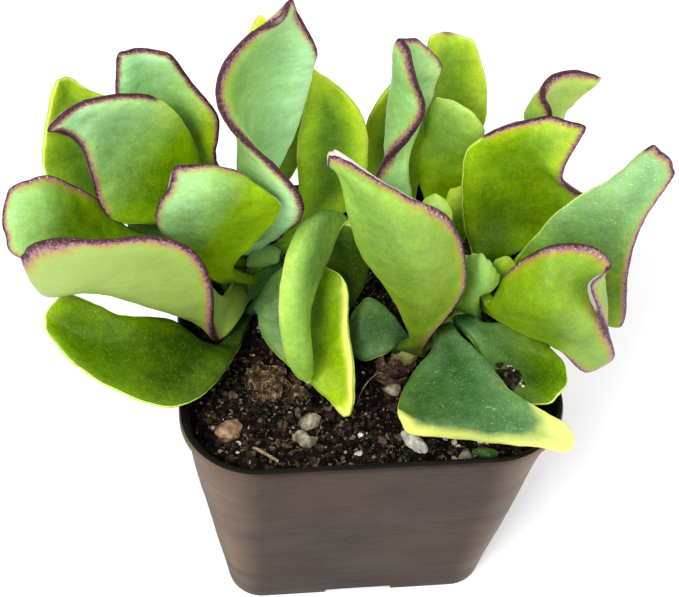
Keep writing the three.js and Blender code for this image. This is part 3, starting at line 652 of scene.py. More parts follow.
# %% [markdown]
# A dry straw lies at the front of the mix, and a root thread curls up beside the middle stem. The
# part's rods are thicker than the real fibres, so that they are solid enough to check. Their
# copies are shrunk along their normals, which thins a rod without making it shorter.

# %% Thin and smooth the straw and the root thread
THINNING = {"straw": 0.14, "root_thread": 0.22}


def dry_fibre():
    made = Finish("dry_fibre")
    streak = made.noise(0.7, 4, made.place((0.6, 2.0, 2.0)))
    base = made.ramp(streak, (0.35, colour(104, 84, 64)), (0.65, colour(176, 152, 122)))
    return made.surface(Base_Color=base, Roughness=0.7, Normal=made.bump(streak, 0.08))


fibre = dry_fibre()
for node, thinner in THINNING.items():
    strand = copy_node(node)
    edit(strand, lambda: bpy.ops.transform.shrink_fatten(value=-thinner * MM))
    modify(strand, "SUBSURF", levels=2, render_levels=2)
    roughen(strand, 0.8, 0.1)
    shade_smooth(strand)
    cover(strand, fibre)
    belongs(strand, "dry_fibre", node)
print("Thinned:", list(THINNING))

# %% [markdown]
# Loose bits cover the mix: crumbs of peat and bark, grains of grit and white perlite. One chip of
# each kind is modelled, and a seeded draw turns, sizes and places its copies, so the result is the
# same each time. The chips of a kind are joined into one piece, and each has only a few faces.

# %% Model one chip and scatter its copies
SCATTER_SEED = 11
CHIP_SEED = 7
SUNK = 0.25
TURN = 6.28
draw = random.Random(SCATTER_SEED)


def model_chip(name, squash, roughness):
    """A small many-sided chip of one millimetre, with its corners pulled about."""
    chip = new_piece(bpy.ops.mesh.primitive_ico_sphere_add, name, subdivisions=2,
                     radius=0.5 * MM)
    edit(chip, lambda: bpy.ops.transform.resize(value=squash),
         lambda: bpy.ops.transform.vertex_random(offset=roughness * MM, seed=CHIP_SEED))
    modify(chip, "DECIMATE", ratio=0.45)
    return chip


def somewhere_on_mix(inset=1.0):
    """A random place on the mix, in millimetres."""
    while True:
        x, y = (draw.uniform(-MIX_WIDTH / 2, MIX_WIDTH / 2) for _ in range(2))
        if math.hypot(x, y) < mix_reach(x, y) - inset:
            return x, y


def copy_chip(chip, x, y, size, height_at):
    """One copy of the chip, turned and stretched by chance, lying on what is below it."""
    copy = chip.copy()
    copy.data = chip.data.copy()
    turned = Matrix.Rotation(draw.uniform(0, TURN), 4, "Z")
    turned = turned @ Matrix.Rotation(draw.uniform(-0.5, 0.5), 4, "X")
    stretch = (size * draw.uniform(0.7, 1.3), size, size * draw.uniform(0.6, 1.1), 1)
    height = height_at(x, y) + size * (0.5 - SUNK)
    at = Matrix.Translation(Vector((x, y, height)) * MM)
    copy.data.transform(at @ turned @ Matrix.Diagonal(stretch))
    bpy.context.scene.collection.objects.link(copy)
    return copy


def scatter(chip, name, slot, material, spots, sizes, height_at=mix_height):
    """Copies the chip to each spot, joins the copies and removes the chip."""
    copies = [copy_chip(chip, x, y, draw.uniform(*sizes), height_at) for x, y in spots]
    pick_only(copies[0])
    for copy in copies:
        copy.select_set(True)
    bpy.ops.object.join()
    piece = bpy.context.object
    piece.name = name
    bpy.data.objects.remove(chip)
    cover(piece, material)
    shade_smooth(piece, 30)
    print(name, "has", len(spots), "bits and", len(piece.data.polygons), "faces")
    belongs(piece, slot)


# %% The finishes of perlite and grit
def perlite():
    made = Finish("perlite")
    grain = made.noise(0.3, 5, rough=0.7)
    base = made.ramp(made.cells(2.3, "Color"), (0.1, colour(150, 146, 132)),
                     (0.6, colour(206, 202, 190)), (0.95, colour(236, 234, 226)))
    base = made.mix(made.fade(grain, 0.45, 0.7, 0, 0.5), base, colour(120, 108, 90))
    return made.surface(Base_Color=base, Roughness=0.8, Normal=made.bump(grain, 0.12))


def grit():
    made = Finish("grit")
    grain = made.noise(0.3, 4, rough=0.7)
    base = made.ramp(made.cells(1.9, "Color"), (0.1, colour(70, 60, 50)),
                     (0.5, colour(128, 112, 94)), (0.9, colour(206, 194, 174)))
    base = made.mix(made.fade(grain, 0.45, 0.7, 0, 0.5), base, colour(52, 42, 34))
    return made.surface(Base_Color=base, Roughness=0.7, Normal=made.bump(grain, 0.1))


perlite_finish, grit_finish = perlite(), grit()
print("Finishes for the loose bits:", perlite_finish.name, "and", grit_finish.name)

# %% Scatter crumbs, grit and perlite
PEAT_CRUMBS, BARK_CRUMBS, GRIT_GRAINS = 2000, 1300, 420

scatter(model_chip("crumb", (1, 0.8, 0.6), 0.12), "peat_crumbs", "potting_mix", mix_finish,
        [somewhere_on_mix() for _ in range(PEAT_CRUMBS)], (0.5, 1.7))
scatter(model_chip("flake", (1.5, 0.8, 0.45), 0.15), "bark_crumbs", "bark", bark_finish,
        [somewhere_on_mix() for _ in range(BARK_CRUMBS)], (0.35, 1.6))
scatter(model_chip("grain", (1, 0.8, 0.7), 0.1), "grit_grains", "grey_stone", grit_finish,
        [somewhere_on_mix() for _ in range(GRIT_GRAINS)], (0.2, 1.0))

# The photograph shows perlite along the front right, and a few white specks elsewhere.
white_spots = [(draw.uniform(12, 27), draw.uniform(-28, -21)) for _ in range(16)]
white_spots += [(draw.uniform(-28, -22), draw.uniform(-27, -18)) for _ in range(5)]
white_spots += [somewhere_on_mix(2) for _ in range(16)]
scatter(model_chip("perlite_grain", (1, 0.85, 0.7), 0.1), "perlite_grains", "grey_stone",
        perlite_finish, white_spots, (0.5, 1.5))

# %% [markdown]
# Coir fibres lie all through the mix, and they cover the brown clump at the front left in a tangle.
# Each is a line of a few bends, given a thickness and made a mesh, and the lines of a kind are
# joined into one piece. A tangled one keeps to the clump by being pulled to its nearest point.

# %% Helpers for fibres
def lay_strands(name, lines, thickness, material, slot):
    """One piece made of thin closed tubes along lines of places in millimetres."""
    curve = bpy.data.curves.new(name, "CURVE")
    curve.dimensions = "3D"
    curve.bevel_depth = thickness / 2 * MM
    curve.bevel_resolution = 0
    curve.use_fill_caps = True
    for line in lines:
        strand = curve.splines.new("POLY")
        strand.points.add(len(line) - 1)
        girth = draw.uniform(0.6, 1.3)
        for point, place in zip(strand.points, line):
            point.co = (*(Vector(place) * MM), 1)
            point.radius = girth
    piece = bpy.data.objects.new(name, curve)
    bpy.context.scene.collection.objects.link(piece)
    pick_only(piece)
    bpy.ops.object.convert(target="MESH")
    piece = bpy.context.object
    cover(piece, material)
    print(name, "has", len(lines), "strands and", len(piece.data.polygons), "faces")
    belongs(piece, slot)


def walk_on_mix(points, reach, bend):
    """A wandering line of places on the mix, in millimetres."""
    x, y = somewhere_on_mix(2.5)
    heading, step, line = draw.uniform(0, TURN), draw.uniform(0.5, 1) * reach / points, []
    for k in range(points):
        if math.hypot(x, y) > mix_reach(x, y) - 1.5:
            heading += math.pi / 2
        line.append((x, y, mix_height(x, y) + 0.3 + 0.4 * math.sin(math.pi * k / points)))
        heading += draw.uniform(-bend, bend)
        x += step * math.cos(heading)
        y += step * math.sin(heading)
    return line


def walk_on_lump(skin, low, high, points, step, bend, lift):
    """A wandering line that keeps close to a lump between two corners, in millimetres."""
    start = (draw.uniform(low[0], high[0]), draw.uniform(low[1], high[1]), high[2] + 1)
    spot, normal = skin.find_nearest(Vector(start))[:2]
    heading, line = draw.uniform(0, TURN), []
    for _ in range(points):
        line.append(spot + normal * draw.uniform(0, lift))
        heading += draw.uniform(-bend, bend)
        ahead = Vector((math.cos(heading), math.sin(heading), draw.uniform(-0.5, 0.6)))
        spot, normal = skin.find_nearest(spot + step * ahead)[:2]
    return line


# %% Lay fibres on the mix and tangle them over the clump
LONG_FIBRES, SHORT_FIBRES = 34, 420
LUMP_STRANDS = {"bark_clump": 240, "bark_chip": 60}


def coir_strand():
    made = Finish("coir_strand")
    shade = made.noise(1.3, 4, rough=0.7)
    base = made.ramp(shade, (0.32, colour(30, 22, 16)), (0.5, colour(82, 63, 46)),
                     (0.66, colour(172, 144, 112)))
    return made.surface(Base_Color=base, Roughness=0.75, Normal=made.bump(shade, 0.03))


strand_finish = coir_strand()
lay_strands("coir_fibres", [walk_on_mix(8, 6, 0.5) for _ in range(LONG_FIBRES)], 0.1,
            strand_finish, "bark")
lay_strands("short_fibres", [walk_on_mix(5, 2.4, 0.9) for _ in range(SHORT_FIBRES)], 0.13,
            strand_finish, "bark")
for node, strands in LUMP_STRANDS.items():
    lump = bpy.data.objects["fine_" + node]
    low, high = places(lump).min(axis=0) / MM, places(lump).max(axis=0) / MM
    skin = skin_tree(lump, MM)
    lines = [walk_on_lump(skin, low, high, 7, 0.6, 1.1, 0.55) for _ in range(strands)]
    lay_strands(node + "_strands", lines, 0.17, strand_finish, "bark")

# %% [markdown]
# The stems are fleshy and green near the leaves, and brown and corky lower down. A copy of each is
# subdivided and roughened, and a ridged bump across it stands for the rings of old leaf bases. The
# plain stems' faces are kept for a search, because each leaf is joined to the nearest stem later.

# %% Model the stems
def stem_skin():
    made = Finish("stem_skin")
    patch = made.noise(2.5, 4)
    ridge = made.noise(0.7, 5, made.place((1, 1, 2.5)), 0.65)
    green = made.mix(made.fade(patch, 0.35, 0.65), colour(104, 128, 52), colour(140, 158, 74))
    cork = made.mix(made.fade(ridge, 0.4, 0.65), colour(92, 74, 46), colour(150, 128, 84))
    young = made.fade(made.plus(made.axes()["Z"], made.times(patch, 6)), 54, 61)
    return made.surface(Base_Color=made.mix(young, cork, green), Roughness=0.55,
                        Normal=made.bump(ridge, 0.15),
                        Subsurface_Weight=0.15, Subsurface_Scale=1 * MM)


stem_finish = stem_skin()
stem_shapes = {}
for node in sorted(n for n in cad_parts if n.startswith("stem")):
    stem = copy_node(node)
    stem_shapes[node] = skin_tree(stem)
    modify(stem, "SUBSURF", levels=3, render_levels=3)
    roughen(stem, 2.2, 0.3)
    shade_smooth(stem)
    cover(stem, stem_finish)
    belongs(stem, "stem_skin", node)
print("Stems:", sorted(stem_shapes))

# %% [markdown]
# Every leaf in the part is a closed skin over the same grid: ten rows from the stem to the tip,
# seven points to a row, on a top face and an under face. A copy loses the order of the points, but
# not how they are joined. Walking the copy and the known pattern side by side, one edge after
# another, gives each point its row and column back. Two ways round fit, and the right one has its
# first row at a stem.

# %% Write down the pattern that all leaves share
ROWS, COLUMNS = 10, 7
UNDER = ROWS * COLUMNS


def leaf_pattern():
    """The triangles of every CAD leaf by grid number, and its diagonals."""
    triangles, diagonals = [], set()
    for row in range(ROWS - 1):
        for column in range(COLUMNS - 1):
            a = row * COLUMNS + column
            b, c, d = a + 1, a + COLUMNS + 1, a + COLUMNS
            triangles += [(a, b, c), (a, c, d)]
            triangles += [(UNDER + a, UNDER + c, UNDER + b), (UNDER + a, UNDER + d, UNDER + c)]
            diagonals |= {frozenset((a, c)), frozenset((UNDER + a, UNDER + c))}
    rim = list(range(COLUMNS - 1))
    rim += [row * COLUMNS + COLUMNS - 1 for row in range(ROWS - 1)]
    rim += [(ROWS - 1) * COLUMNS + column for column in range(COLUMNS - 1, 0, -1)]
    rim += [row * COLUMNS for row in range(ROWS - 1, 0, -1)]
    for a, b in zip(rim, rim[1:] + rim[:1]):
        triangles += [(a, UNDER + a, UNDER + b), (a, UNDER + b, b)]
        diagonals.add(frozenset((a, UNDER + b)))
    return triangles, diagonals


PATTERN, DIAGONALS = leaf_pattern()
print("The pattern has", len(PATTERN), "triangles and", len(DIAGONALS), "diagonals")

# %% Find each leaf's rows and columns
def opposite_corners(triangles):
    """For each edge, taken in one direction, the third corner of its triangle."""
    return {(t[k], t[(k + 1) % 3]): t[(k + 2) % 3] for t in triangles for k in range(3)}


def walk_together(known, found, edge, candidate):
    """Pairs grid numbers with the leaf's points from one pair of edges on, or gives up."""
    pairs = dict(zip(edge, candidate))
    seen, waiting = {edge}, [(edge, candidate)]
    while waiting:
        (p, q), (a, b) = waiting.pop()
        r, c = known[p, q], found[a, b]
        if pairs.setdefault(r, c) != c:
            return None
        for step, twin in (((r, q), (c, b)), ((p, r), (a, c)), ((q, p), (b, a))):
            if step not in seen:
                seen.add(step)
                waiting.append((step, twin))
    return pairs if len(set(pairs.values())) == 2 * UNDER else None


def grid_order(leaf):
    """The leaf's points in grid order, and the stem that its first row is nearest to."""
    known = opposite_corners(PATTERN)
    found = opposite_corners([tuple(p.vertices) for p in leaf.data.polygons])
    edge = next(iter(known))
    best = None
    for candidate in found:
        pairs = walk_together(known, found, edge, candidate)
        if pairs:
            first_row = [leaf.data.vertices[pairs[k]].co for k in range(COLUMNS)]
            root = sum(first_row, Vector()) / COLUMNS
            nearest = min((tree.find_nearest(root)[3], name) for name, tree in stem_shapes.items())
            if best is None or nearest < best[0]:
                best = (nearest, [pairs[k] for k in range(2 * UNDER)])
    return best[1], best[0][1]


# %% [markdown]
# The leaf's skin is turned into four-sided faces by dissolving the diagonals, which a subdivision
# surface needs. Subdividing pulls a form in, so the cage is first pressed out: a smooth surface is
# tried, each cage point moves by what it missed, and this is repeated. Only the sheet is pressed
# out, and not its thickness, so that the margins still come out round. The neck is drawn on to the
# stem, because the part keeps a small gap there that a real leaf doesn't have.

# %% Numbers that a piece carries on its points
def number_on_points(piece, name, values):
    stored = piece.data.attributes.get(name) or piece.data.attributes.new(name, "FLOAT", "POINT")
    stored.data.foreach_set("value", np.asarray(values, np.float32))


def same_on_points(piece, **values):
    """Stores numbers that are the same all over the piece."""
    for name, value in values.items():
        number_on_points(piece, name, np.full(len(piece.data.vertices), value))


def read_number(piece, name):
    values = np.empty(len(piece.data.vertices), np.float32)
    piece.data.attributes[name].data.foreach_get("value", values)
    return values


# %% Press a leaf's cage out and lengthen its neck
PRESSES = 4
LEAF_LEVELS = 3
NECK_REACH = 1.5


def smooth_places(leaf):
    """Where the smooth surface puts the cage's own points."""
    bpy.context.view_layer.update()
    smooth = leaf.evaluated_get(bpy.context.evaluated_depsgraph_get())
    numbers = np.empty(len(smooth.data.vertices) * 3)
    smooth.data.vertices.foreach_get("co", numbers)
    return numbers.reshape(-1, 3)[:2 * UNDER]


def press_out(leaf, order):
    """Moves the cage out until its smooth surface passes through the old places."""
    wanted = places(leaf)
    modifier = leaf.modifiers.new("Smooth", "SUBSURF")
    modifier.levels = 1
    top, under = np.array(order[:UNDER]), np.array(order[UNDER:])
    for _ in range(PRESSES):
        missed = wanted - smooth_places(leaf)
        both = (missed[top] + missed[under]) / 2
        cage = places(leaf)
        cage[top] += both
        cage[under] += both
        set_places(leaf, cage)
    leaf.modifiers.remove(modifier)
    return wanted


def lengthen_neck(leaf, first_row, root, stem):
    """Draws the leaf's first row on towards its stem."""
    to_stem = stem_shapes[stem].find_nearest(root)[0] - root
    reach = {"value": to_stem.normalized() * NECK_REACH * MM}

    def draw_on():
        pick_parts(leaf, "FACE", lambda f: all(v.index in first_row for v in f.verts))
        bpy.ops.mesh.extrude_region_move(TRANSFORM_OT_translate=reach)

    edit(leaf, draw_on)


# %% Turn a CAD leaf into a smooth, fleshy one
# The part's front leaf ends in a sharp corner at the right. The real one is folded and blunt there,
# so that corner of the sheet is moved: (row, column) and how far, in millimetres.
BLUNT_CORNER = {(8, 6): (1.8, 0.5, 1.5), (7, 6): (2.2, 0.4, 1.0), (6, 6): (1.2, 0.2, 0.4),
                (8, 5): (0.6, 0.2, 0.5)}


def blunt_corner(leaf, order):
    moved = places(leaf)
    for (row, column), far in BLUNT_CORNER.items():
        for k in (row * COLUMNS + column, UNDER + row * COLUMNS + column):
            moved[order[k]] += np.array(far) * MM
    set_places(leaf, moved)


def store_grid(leaf, order):
    """Tells each point its share of the way along and across the leaf, and its side."""
    number = np.empty(2 * UNDER, int)
    number[order] = np.arange(2 * UNDER)
    sheet = number % UNDER
    number_on_points(leaf, "along", (sheet // COLUMNS) / (ROWS - 1))
    number_on_points(leaf, "across", 2 * (sheet % COLUMNS) / (COLUMNS - 1) - 1)
    number_on_points(leaf, "side", np.where(number < UNDER, 1.0, -1.0))


def smooth_leaf(node):
    leaf = copy_node(node)
    order, stem = grid_order(leaf)
    if node == "leaf_front_right":
        blunt_corner(leaf, order)
    store_grid(leaf, order)
    diagonals = {frozenset(order[k] for k in pair) for pair in DIAGONALS}

    def dissolve_diagonals():
        pick_parts(leaf, "EDGE", lambda e: frozenset(v.index for v in e.verts) in diagonals)
        bpy.ops.mesh.dissolve_edges(use_verts=False)

    edit(leaf, dissolve_diagonals)
    wanted = press_out(leaf, order)
    first_row = set(order[:COLUMNS]) | set(order[UNDER:UNDER + COLUMNS])
    root = Vector(np.mean([wanted[k] for k in first_row], axis=0))
    lengthen_neck(leaf, first_row, root, stem)
    modify(leaf, "SUBSURF", levels=LEAF_LEVELS, render_levels=LEAF_LEVELS)
    shade_smooth(leaf)
    return leaf


# %% [markdown]
# The purple margin, its pale line and its dots all follow the leaf's edge. So every point of the
# skin is told how far it lies from the edge and how far along the edge its nearest place is, both
# in millimetres. The material turns these two numbers into bands and dots of true size. The edge
# of a young leaf is also scalloped, by moving its points to and fro along the way.

# %% Measure each point's distance to the margin
def margin_line(leaf):
    """The middle line of the leaf's edge, from the neck over the tip and back."""
    along, across, side = (read_number(leaf, n) for n in ("along", "across", "side"))
    on_edge = (np.abs(side) < 1e-3) & (along > 1e-4)
    key = np.where(across < -0.999, along * (ROWS - 1),
                   np.where(across > 0.999, 2 * ROWS + COLUMNS - along * (ROWS - 1),
                            ROWS + (across + 1) / 2 * (COLUMNS - 1)))
    chosen = np.flatnonzero(on_edge)
    return places(leaf)[chosen[np.argsort(key[chosen], kind="stable")]] / MM


def measure_margin(leaf):
    """Stores both distances, and gives each point's share of the way round the edge."""
    line = margin_line(leaf)
    points = places(leaf) / MM
    steps = np.diff(line, axis=0)
    lengths = np.linalg.norm(steps, axis=1)
    starts = np.concatenate([[0], np.cumsum(lengths)])
    nearest = np.full(len(points), np.inf)
    along_edge = np.zeros(len(points))
    for start, step, length, before in zip(line, steps, lengths, starts):
        if length > 0:
            share = np.clip((points - start) @ step / length ** 2, 0, 1)
            distance = np.linalg.norm(points - start - share[:, None] * step, axis=1)
            closer = distance < nearest
            nearest[closer] = distance[closer]
            along_edge[closer] = before + share[closer] * length
    number_on_points(leaf, "margin", nearest)
    number_on_points(leaf, "rim", along_edge)
    return along_edge / starts[-1]


# %% Scallop a margin
SCALLOP_PITCH, SCALLOP_DEPTH = 2, 0.22
SCALLOPS_FROM = 0.45


def scallop(leaf, pitch, depth):
    """Waves the outer part of the margin, with a pitch and a depth in millimetres."""
    measure_margin(leaf)
    margin, rim = read_number(leaf, "margin"), read_number(leaf, "rim")
    points = places(leaf)
    outward = points - points.mean(axis=0)
    outward /= np.linalg.norm(outward, axis=1, keepdims=True)
    wave = depth * np.cos(2 * np.pi * rim / pitch) * np.clip(1 - margin / pitch, 0, 1) ** 2
    wave *= read_number(leaf, "along") > SCALLOPS_FROM
    set_places(leaf, points + outward * wave[:, None] * MM)


# %% [markdown]
# Each leaf has its own look in the photograph. Tone runs from dark green at 0 to yellow-green at 1,
# bloom is the share of the pale wax that makes a leaf bluish, and dull is the share of a greyer
# green. Tone and bloom have a middle value, a change from the leaf's left to its right, and a
# change from its foot to its top, and dull has the first two. The changes of tone are partly the
# leaf's own colour and partly painted light and shade: lighter on its lit side, and darker on its
# shaded side or in the hollow of a cupped leaf. The changes of bloom are painted sheen where the
# wax catches the light. Edge is how much yellower the leaf gets towards its margin. The purple,
# pale and white margins are stretches of the edge, from 0 at the neck over the tip to 1 at the neck
# again, each with a width in millimetres; the white one is a painted highlight along a folded edge.
# Pale_end is the width of a pale band along the whole tip.

# %% The looks of the lime leaves
LIME = {
    "leaf_left_far_back": dict(tone=(0.5, -0.05, 0.15), edge=0.2, pale=[(0.1, 0.9, 0.25)]),
    # On the far and front leaves, bloom that grows towards the upper left is painted sheen.
    "leaf_left_far": dict(tone=(0.58, -0.05, -0.05), bloom=(-0.5, -0.9, 0.15), dots=0.8,
                          purple=[(0.28, 0.47, 0.7), (0.15, 0.28, 0.2), (0.47, 0.66, 0.25)]),
    "leaf_left_front": dict(tone=(0.58, 0.05, -0.02), bloom=(-0.12, -0.5, 0.5),
                            purple=[(0.24, 0.58, 0.35)], white=[(0.4, 0.46, 0.4)]),
    "leaf_centre_back": dict(tone=(0.42, 0.05, 0.05), edge=0.4),
    "leaf_behind_tall": dict(tone=(0.65, 0, 0.35), edge=0.3),
    "leaf_rear_left": dict(tone=(0.55, 0, 0.1), purple=[(0.3, 0.7, 0.6)]),
    # The arch's tone falls towards its right: painted shade on its cupped inner side.
    "leaf_centre_arch": dict(tone=(0.32, -0.34, 0.14), edge=0.2, bloom=(0.08, -0.12, 0.05),
                             pale=[(0.12, 0.88, 0.35)]),
    "leaf_right_round": dict(tone=(0.58, 0.08, 0.22), bloom=(-0.02, 0.15, 0.12),
                             purple=[(0.29, 0.72, 0.3)]),
    "leaf_young_side": dict(tone=(0.55, 0, 0.1)),
    "leaf_inner_back": dict(tone=(0.66, 0, 0.1)),
    "leaf_back_small": dict(tone=(0.62, 0, 0.1), bloom=(0.05, 0, 0.2)),
    "leaf_back_tall": dict(tone=(0.7, 0.05, 0.05), bloom=(0.08, 0, 0),
                           purple=[(0.47, 0.53, 0.1)]),
    "leaf_behind_curly": dict(tone=(0.6, 0, 0.05), edge=0.3),
    "leaf_rear_right": dict(tone=(0.55, 0, 0.1), purple=[(0.3, 0.7, 0.6)]),
}
print("Lime leaves:", len(LIME))

# %% The looks of the waxy, bluish leaves
GLAUCOUS = {
    # Bloom that changes across or up a leaf paints sheen where the wax catches the light.
    "leaf_left_hooked": dict(tone=(0.58, 0.0, 0.2), bloom=(0.0, -0.6, 0.6),
                             purple=[(0.25, 0.48, 0.4), (0.48, 0.68, 0.2)]),
    "leaf_left_back": dict(tone=(0.65, 0, 0.1), bloom=(0.15, -0.35, 0.6),
                           purple=[(0.36, 0.92, 0.15)]),
    "leaf_left_boat": dict(tone=(0.6, -0.03, 0), bloom=(0.1, -0.05, 0), dull=(0.75, -0.2),
                           scratches=0.4,
                           purple=[(0.1, 0.5, 0.6), (0.5, 0.74, 1.5), (0.74, 0.85, 0.7)]),
    "leaf_tall_twisted": dict(tone=(0.72, 0.02, -0.12), bloom=(0.6, 0.4, -0.2), dots=0.5,
                              purple=[(0.3, 0.48, 0.9), (0.1, 0.3, 0.4), (0.48, 0.66, 0.15)],
                              white=[(0.5, 0.54, 0.35)]),
    "leaf_centre_large": dict(tone=(0.53, 0.05, 0.14), bloom=(0.05, -0.05, 0.1),
                              dull=(0.15, 0.15), dots=1,
                              purple=[(0.44, 0.6, 0.5), (0.6, 0.97, 0.9)],
                              white=[(0.44, 0.6, 0.8), (0.6, 0.97, 0.28)]),
    "leaf_right_front": dict(tone=(0.6, -0.04, 0.05), bloom=(0.05, 0.1, 0), dull=(0.12, 0),
                             dots=0.9, purple=[(0.1, 0.35, 0.8), (0.35, 0.82, 0.6)],
                             white=[(0.36, 0.5, 0.42)]),
    "leaf_right_large": dict(tone=(0.46, 0, -0.06), bloom=(0.12, 0, 0.5), scratches=1.2,
                             purple=[(0.36, 0.44, 0.5), (0.44, 0.75, 0.3)],
                             white=[(0.36, 0.75, 0.3)]),
    "leaf_right_hook": dict(tone=(0.8, 0, 0), bloom=(0.15, 0, 0), dull=(0.4, 0), dots=0.8,
                            purple=[(0.34, 0.52, 0.5)]),
    "leaf_young_light": dict(tone=(0.6, 0, 0), bloom=(0.2, 0, 0.1)),
    "leaf_inner_centre": dict(tone=(0.66, 0, 0.1), bloom=(0.1, 0, 0.15)),
    "leaf_curly": dict(tone=(0.72, 0.15, 0), bloom=(0.5, 0.1, 0), dots=0.4,
                       purple=[(0.15, 0.5, 0.55), (0.5, 0.64, 0.35), (0.64, 0.75, 0.2)]),
}
print("Waxy leaves:", len(GLAUCOUS))

# %% The looks of the dark leaves, whose low tones are partly their own deep green and partly painted shade
DARK = {
    "leaf_left_low": dict(tone=(0.32, -0.16, 0), bloom=(-0.02, 0.08, 0), edge=0.12),
    # The trough's tone rises to the right: painted shade inside its cup on the left and painted
    # light on its lit right half.
    "leaf_centre_trough": dict(tone=(0.42, 0.34, -0.12), bloom=(0.12, -0.25, 0),
                               pale=[(0.35, 0.7, 1)]),
    "leaf_rear_left_low": dict(tone=(0.38, 0, 0)),
    "leaf_middle_low": dict(tone=(0.16, 0, 0), bloom=(0.22, 0, 0)),
    "leaf_front_right": dict(tone=(0.31, 0.07, -0.2), bloom=(0.2, 0.15, 0.15), scratches=0.9,
                             pale_end=3),
    "leaf_right_low": dict(tone=(0.28, 0.15, 0), bloom=(0.12, -0.25, 0), edge=0.15,
                           pale=[(0.3, 0.55, 0.2)]),
    "leaf_rear_low": dict(tone=(0.38, 0, 0)),
}
LOOKS = [("leaf_lime", LIME), ("leaf_glaucous", GLAUCOUS), ("leaf_dark", DARK)]
print("Dark leaves:", len(DARK))

# %% Store a look on a leaf's points
THIN_LINE = 0.16
NECK_SHARE, NECK_PAINTED_SHADE, NECK_MARGIN = 0.16, 0.25, 2
TIP_FROM, TIP_OVER = 0.62, 0.25


def bands(place, stretches):
    """The margin's width at each place, from stretches of (start, end, width)."""
    width = np.zeros(len(place))
    for start, end, wide in stretches:
        corners = (start - 0.02, start + 0.02, end - 0.02, end + 0.02)
        width = np.maximum(width, np.interp(place, corners, (0, wide, wide, 0)))
    return width


def paint_leaf(leaf, tone, bloom=(0.05, 0, 0), dull=(0, 0), edge=0.15, scratches=0.5, dots=0.15,
               purple=(), pale=(), white=(), pale_end=0.0):
    """Stores the leaf's look. Near the neck it is darker, painted shade where the leaf meets its
    stem, and has no margin of its own.
    """
    share = measure_margin(leaf)
    along = read_number(leaf, "along")
    points = places(leaf)
    low, high = points.min(axis=0), points.max(axis=0)
    middle, half = (low + high) / 2, (high - low) / 2
    # The changes of tone from the leaf's left to its right and from its foot to its top are partly
    # its own colour and partly painted light and shade.
    right = (points[:, 0] - middle[0]) / half[0]
    up = (points[:, 2] - middle[2]) / half[2]
    neck = np.clip(1 - along / NECK_SHARE, 0, 1)
    number_on_points(leaf, "margin", read_number(leaf, "margin") + NECK_MARGIN * neck)
    # Near the neck the tone is lowered: painted shade where the leaf meets its stem.
    tone = (tone[0] - NECK_PAINTED_SHADE * neck, *tone[1:])
    for name, (base, sideways, upward) in (("tone", tone), ("bloom", bloom), ("dull", (*dull, 0))):
        number_on_points(leaf, name, base + sideways * right + upward * up)
    same_on_points(leaf, edge=edge, scratches=scratches, dots=dots)
    tip = np.clip((along - TIP_FROM) / TIP_OVER, 0, 1)
    pale_width = np.maximum(bands(share, pale), pale_end * tip)
    number_on_points(leaf, "purple", bands(share, purple))
    number_on_points(leaf, "pale", np.maximum(pale_width, THIN_LINE / 2))
    # The white stretch is the width of a painted highlight along a folded edge.
    number_on_points(leaf, "white", np.maximum(bands(share, white), THIN_LINE))


# %% [markdown]
# One material serves every leaf, and it is painted in layers. Under the margins lie several greens
# and a coat of wax, broken up by noise at a few sizes, as plain green would look like plastic; the
# greens and the wax also carry the light, shade and sheen painted on each leaf. A purple margin is
# a nearly black line on the very edge, turned whitish by a painted highlight where the edge is
# folded over, and then maroon that fades through a reddish blush into the green, with a row of pale
# dots. A plain margin only has a thin light line. Light also passes a little way into the flesh.

# %% The noises and distances that the leaf's layers share
RIM_HALF = 0.4
DOT_SPACING = 1.3
DOT_RADIUS = 0.24


class LeafSkin(Finish):
    """The leaves' material, with what more than one of its layers needs."""

    def __init__(self):
        super().__init__("leaf_skin")
        self.cloud = self.noise(7, 4)
        self.mottle = self.noise(1.2, 5, rough=0.65)
        self.grain = self.noise(0.5, 4, rough=0.7)
        self.streak = self.noise(1.8, 6, self.place((0.5, 0.5, 1.3)), 0.7)
        self.margin = self.math("MAXIMUM", self.value("margin"), 0)
        self.behind_edge_highlight = self.minus(self.margin, self.value("white"))
        width = self.times(self.value("purple"), self.fade(self.mottle, 0.3, 0.7, 0.7, 1.3))
        self.band = self.plus(width, RIM_HALF)
        self.strong = self.fade(self.value("purple"), 0.02, 0.15)


# %% The leaf's greens, wax and scratches, with their painted light, shade and sheen
def green_flesh(made):
    # The stored tone carries the leaf's own green together with its painted light and shade.
    tone = made.plus(made.value("tone"), made.fade(made.cloud, 0.3, 0.7, -0.06, 0.06))
    tone = made.plus(tone, made.fade(made.mottle, 0.3, 0.7, -0.035, 0.035))
    tone = made.plus(tone, made.fade(made.grain, 0.3, 0.7, -0.035, 0.035))
    near_edge = made.fade(made.margin, 5.5, 0.8)
    tone = made.plus(tone, made.times(near_edge, made.value("edge")))
    green = made.ramp(tone, (0.0, colour(14, 34, 2)), (0.25, colour(47, 70, 0)),
                      (0.5, colour(86, 116, 0)), (0.75, colour(128, 162, 0)),
                      (1.0, colour(186, 206, 30)))
    green = made.mix(made.value("dull"), green, colour(146, 160, 80))
    waxy = made.mix(tone, colour(66, 124, 64), colour(198, 245, 194))
    # The wax's share comes from bloom, so it also paints sheen where the wax catches the light.
    wax = made.times(made.value("bloom"), made.fade(made.streak, 0.25, 0.7, 0.8, 1.2), clamp=True)
    return made.mix(wax, green, waxy), wax


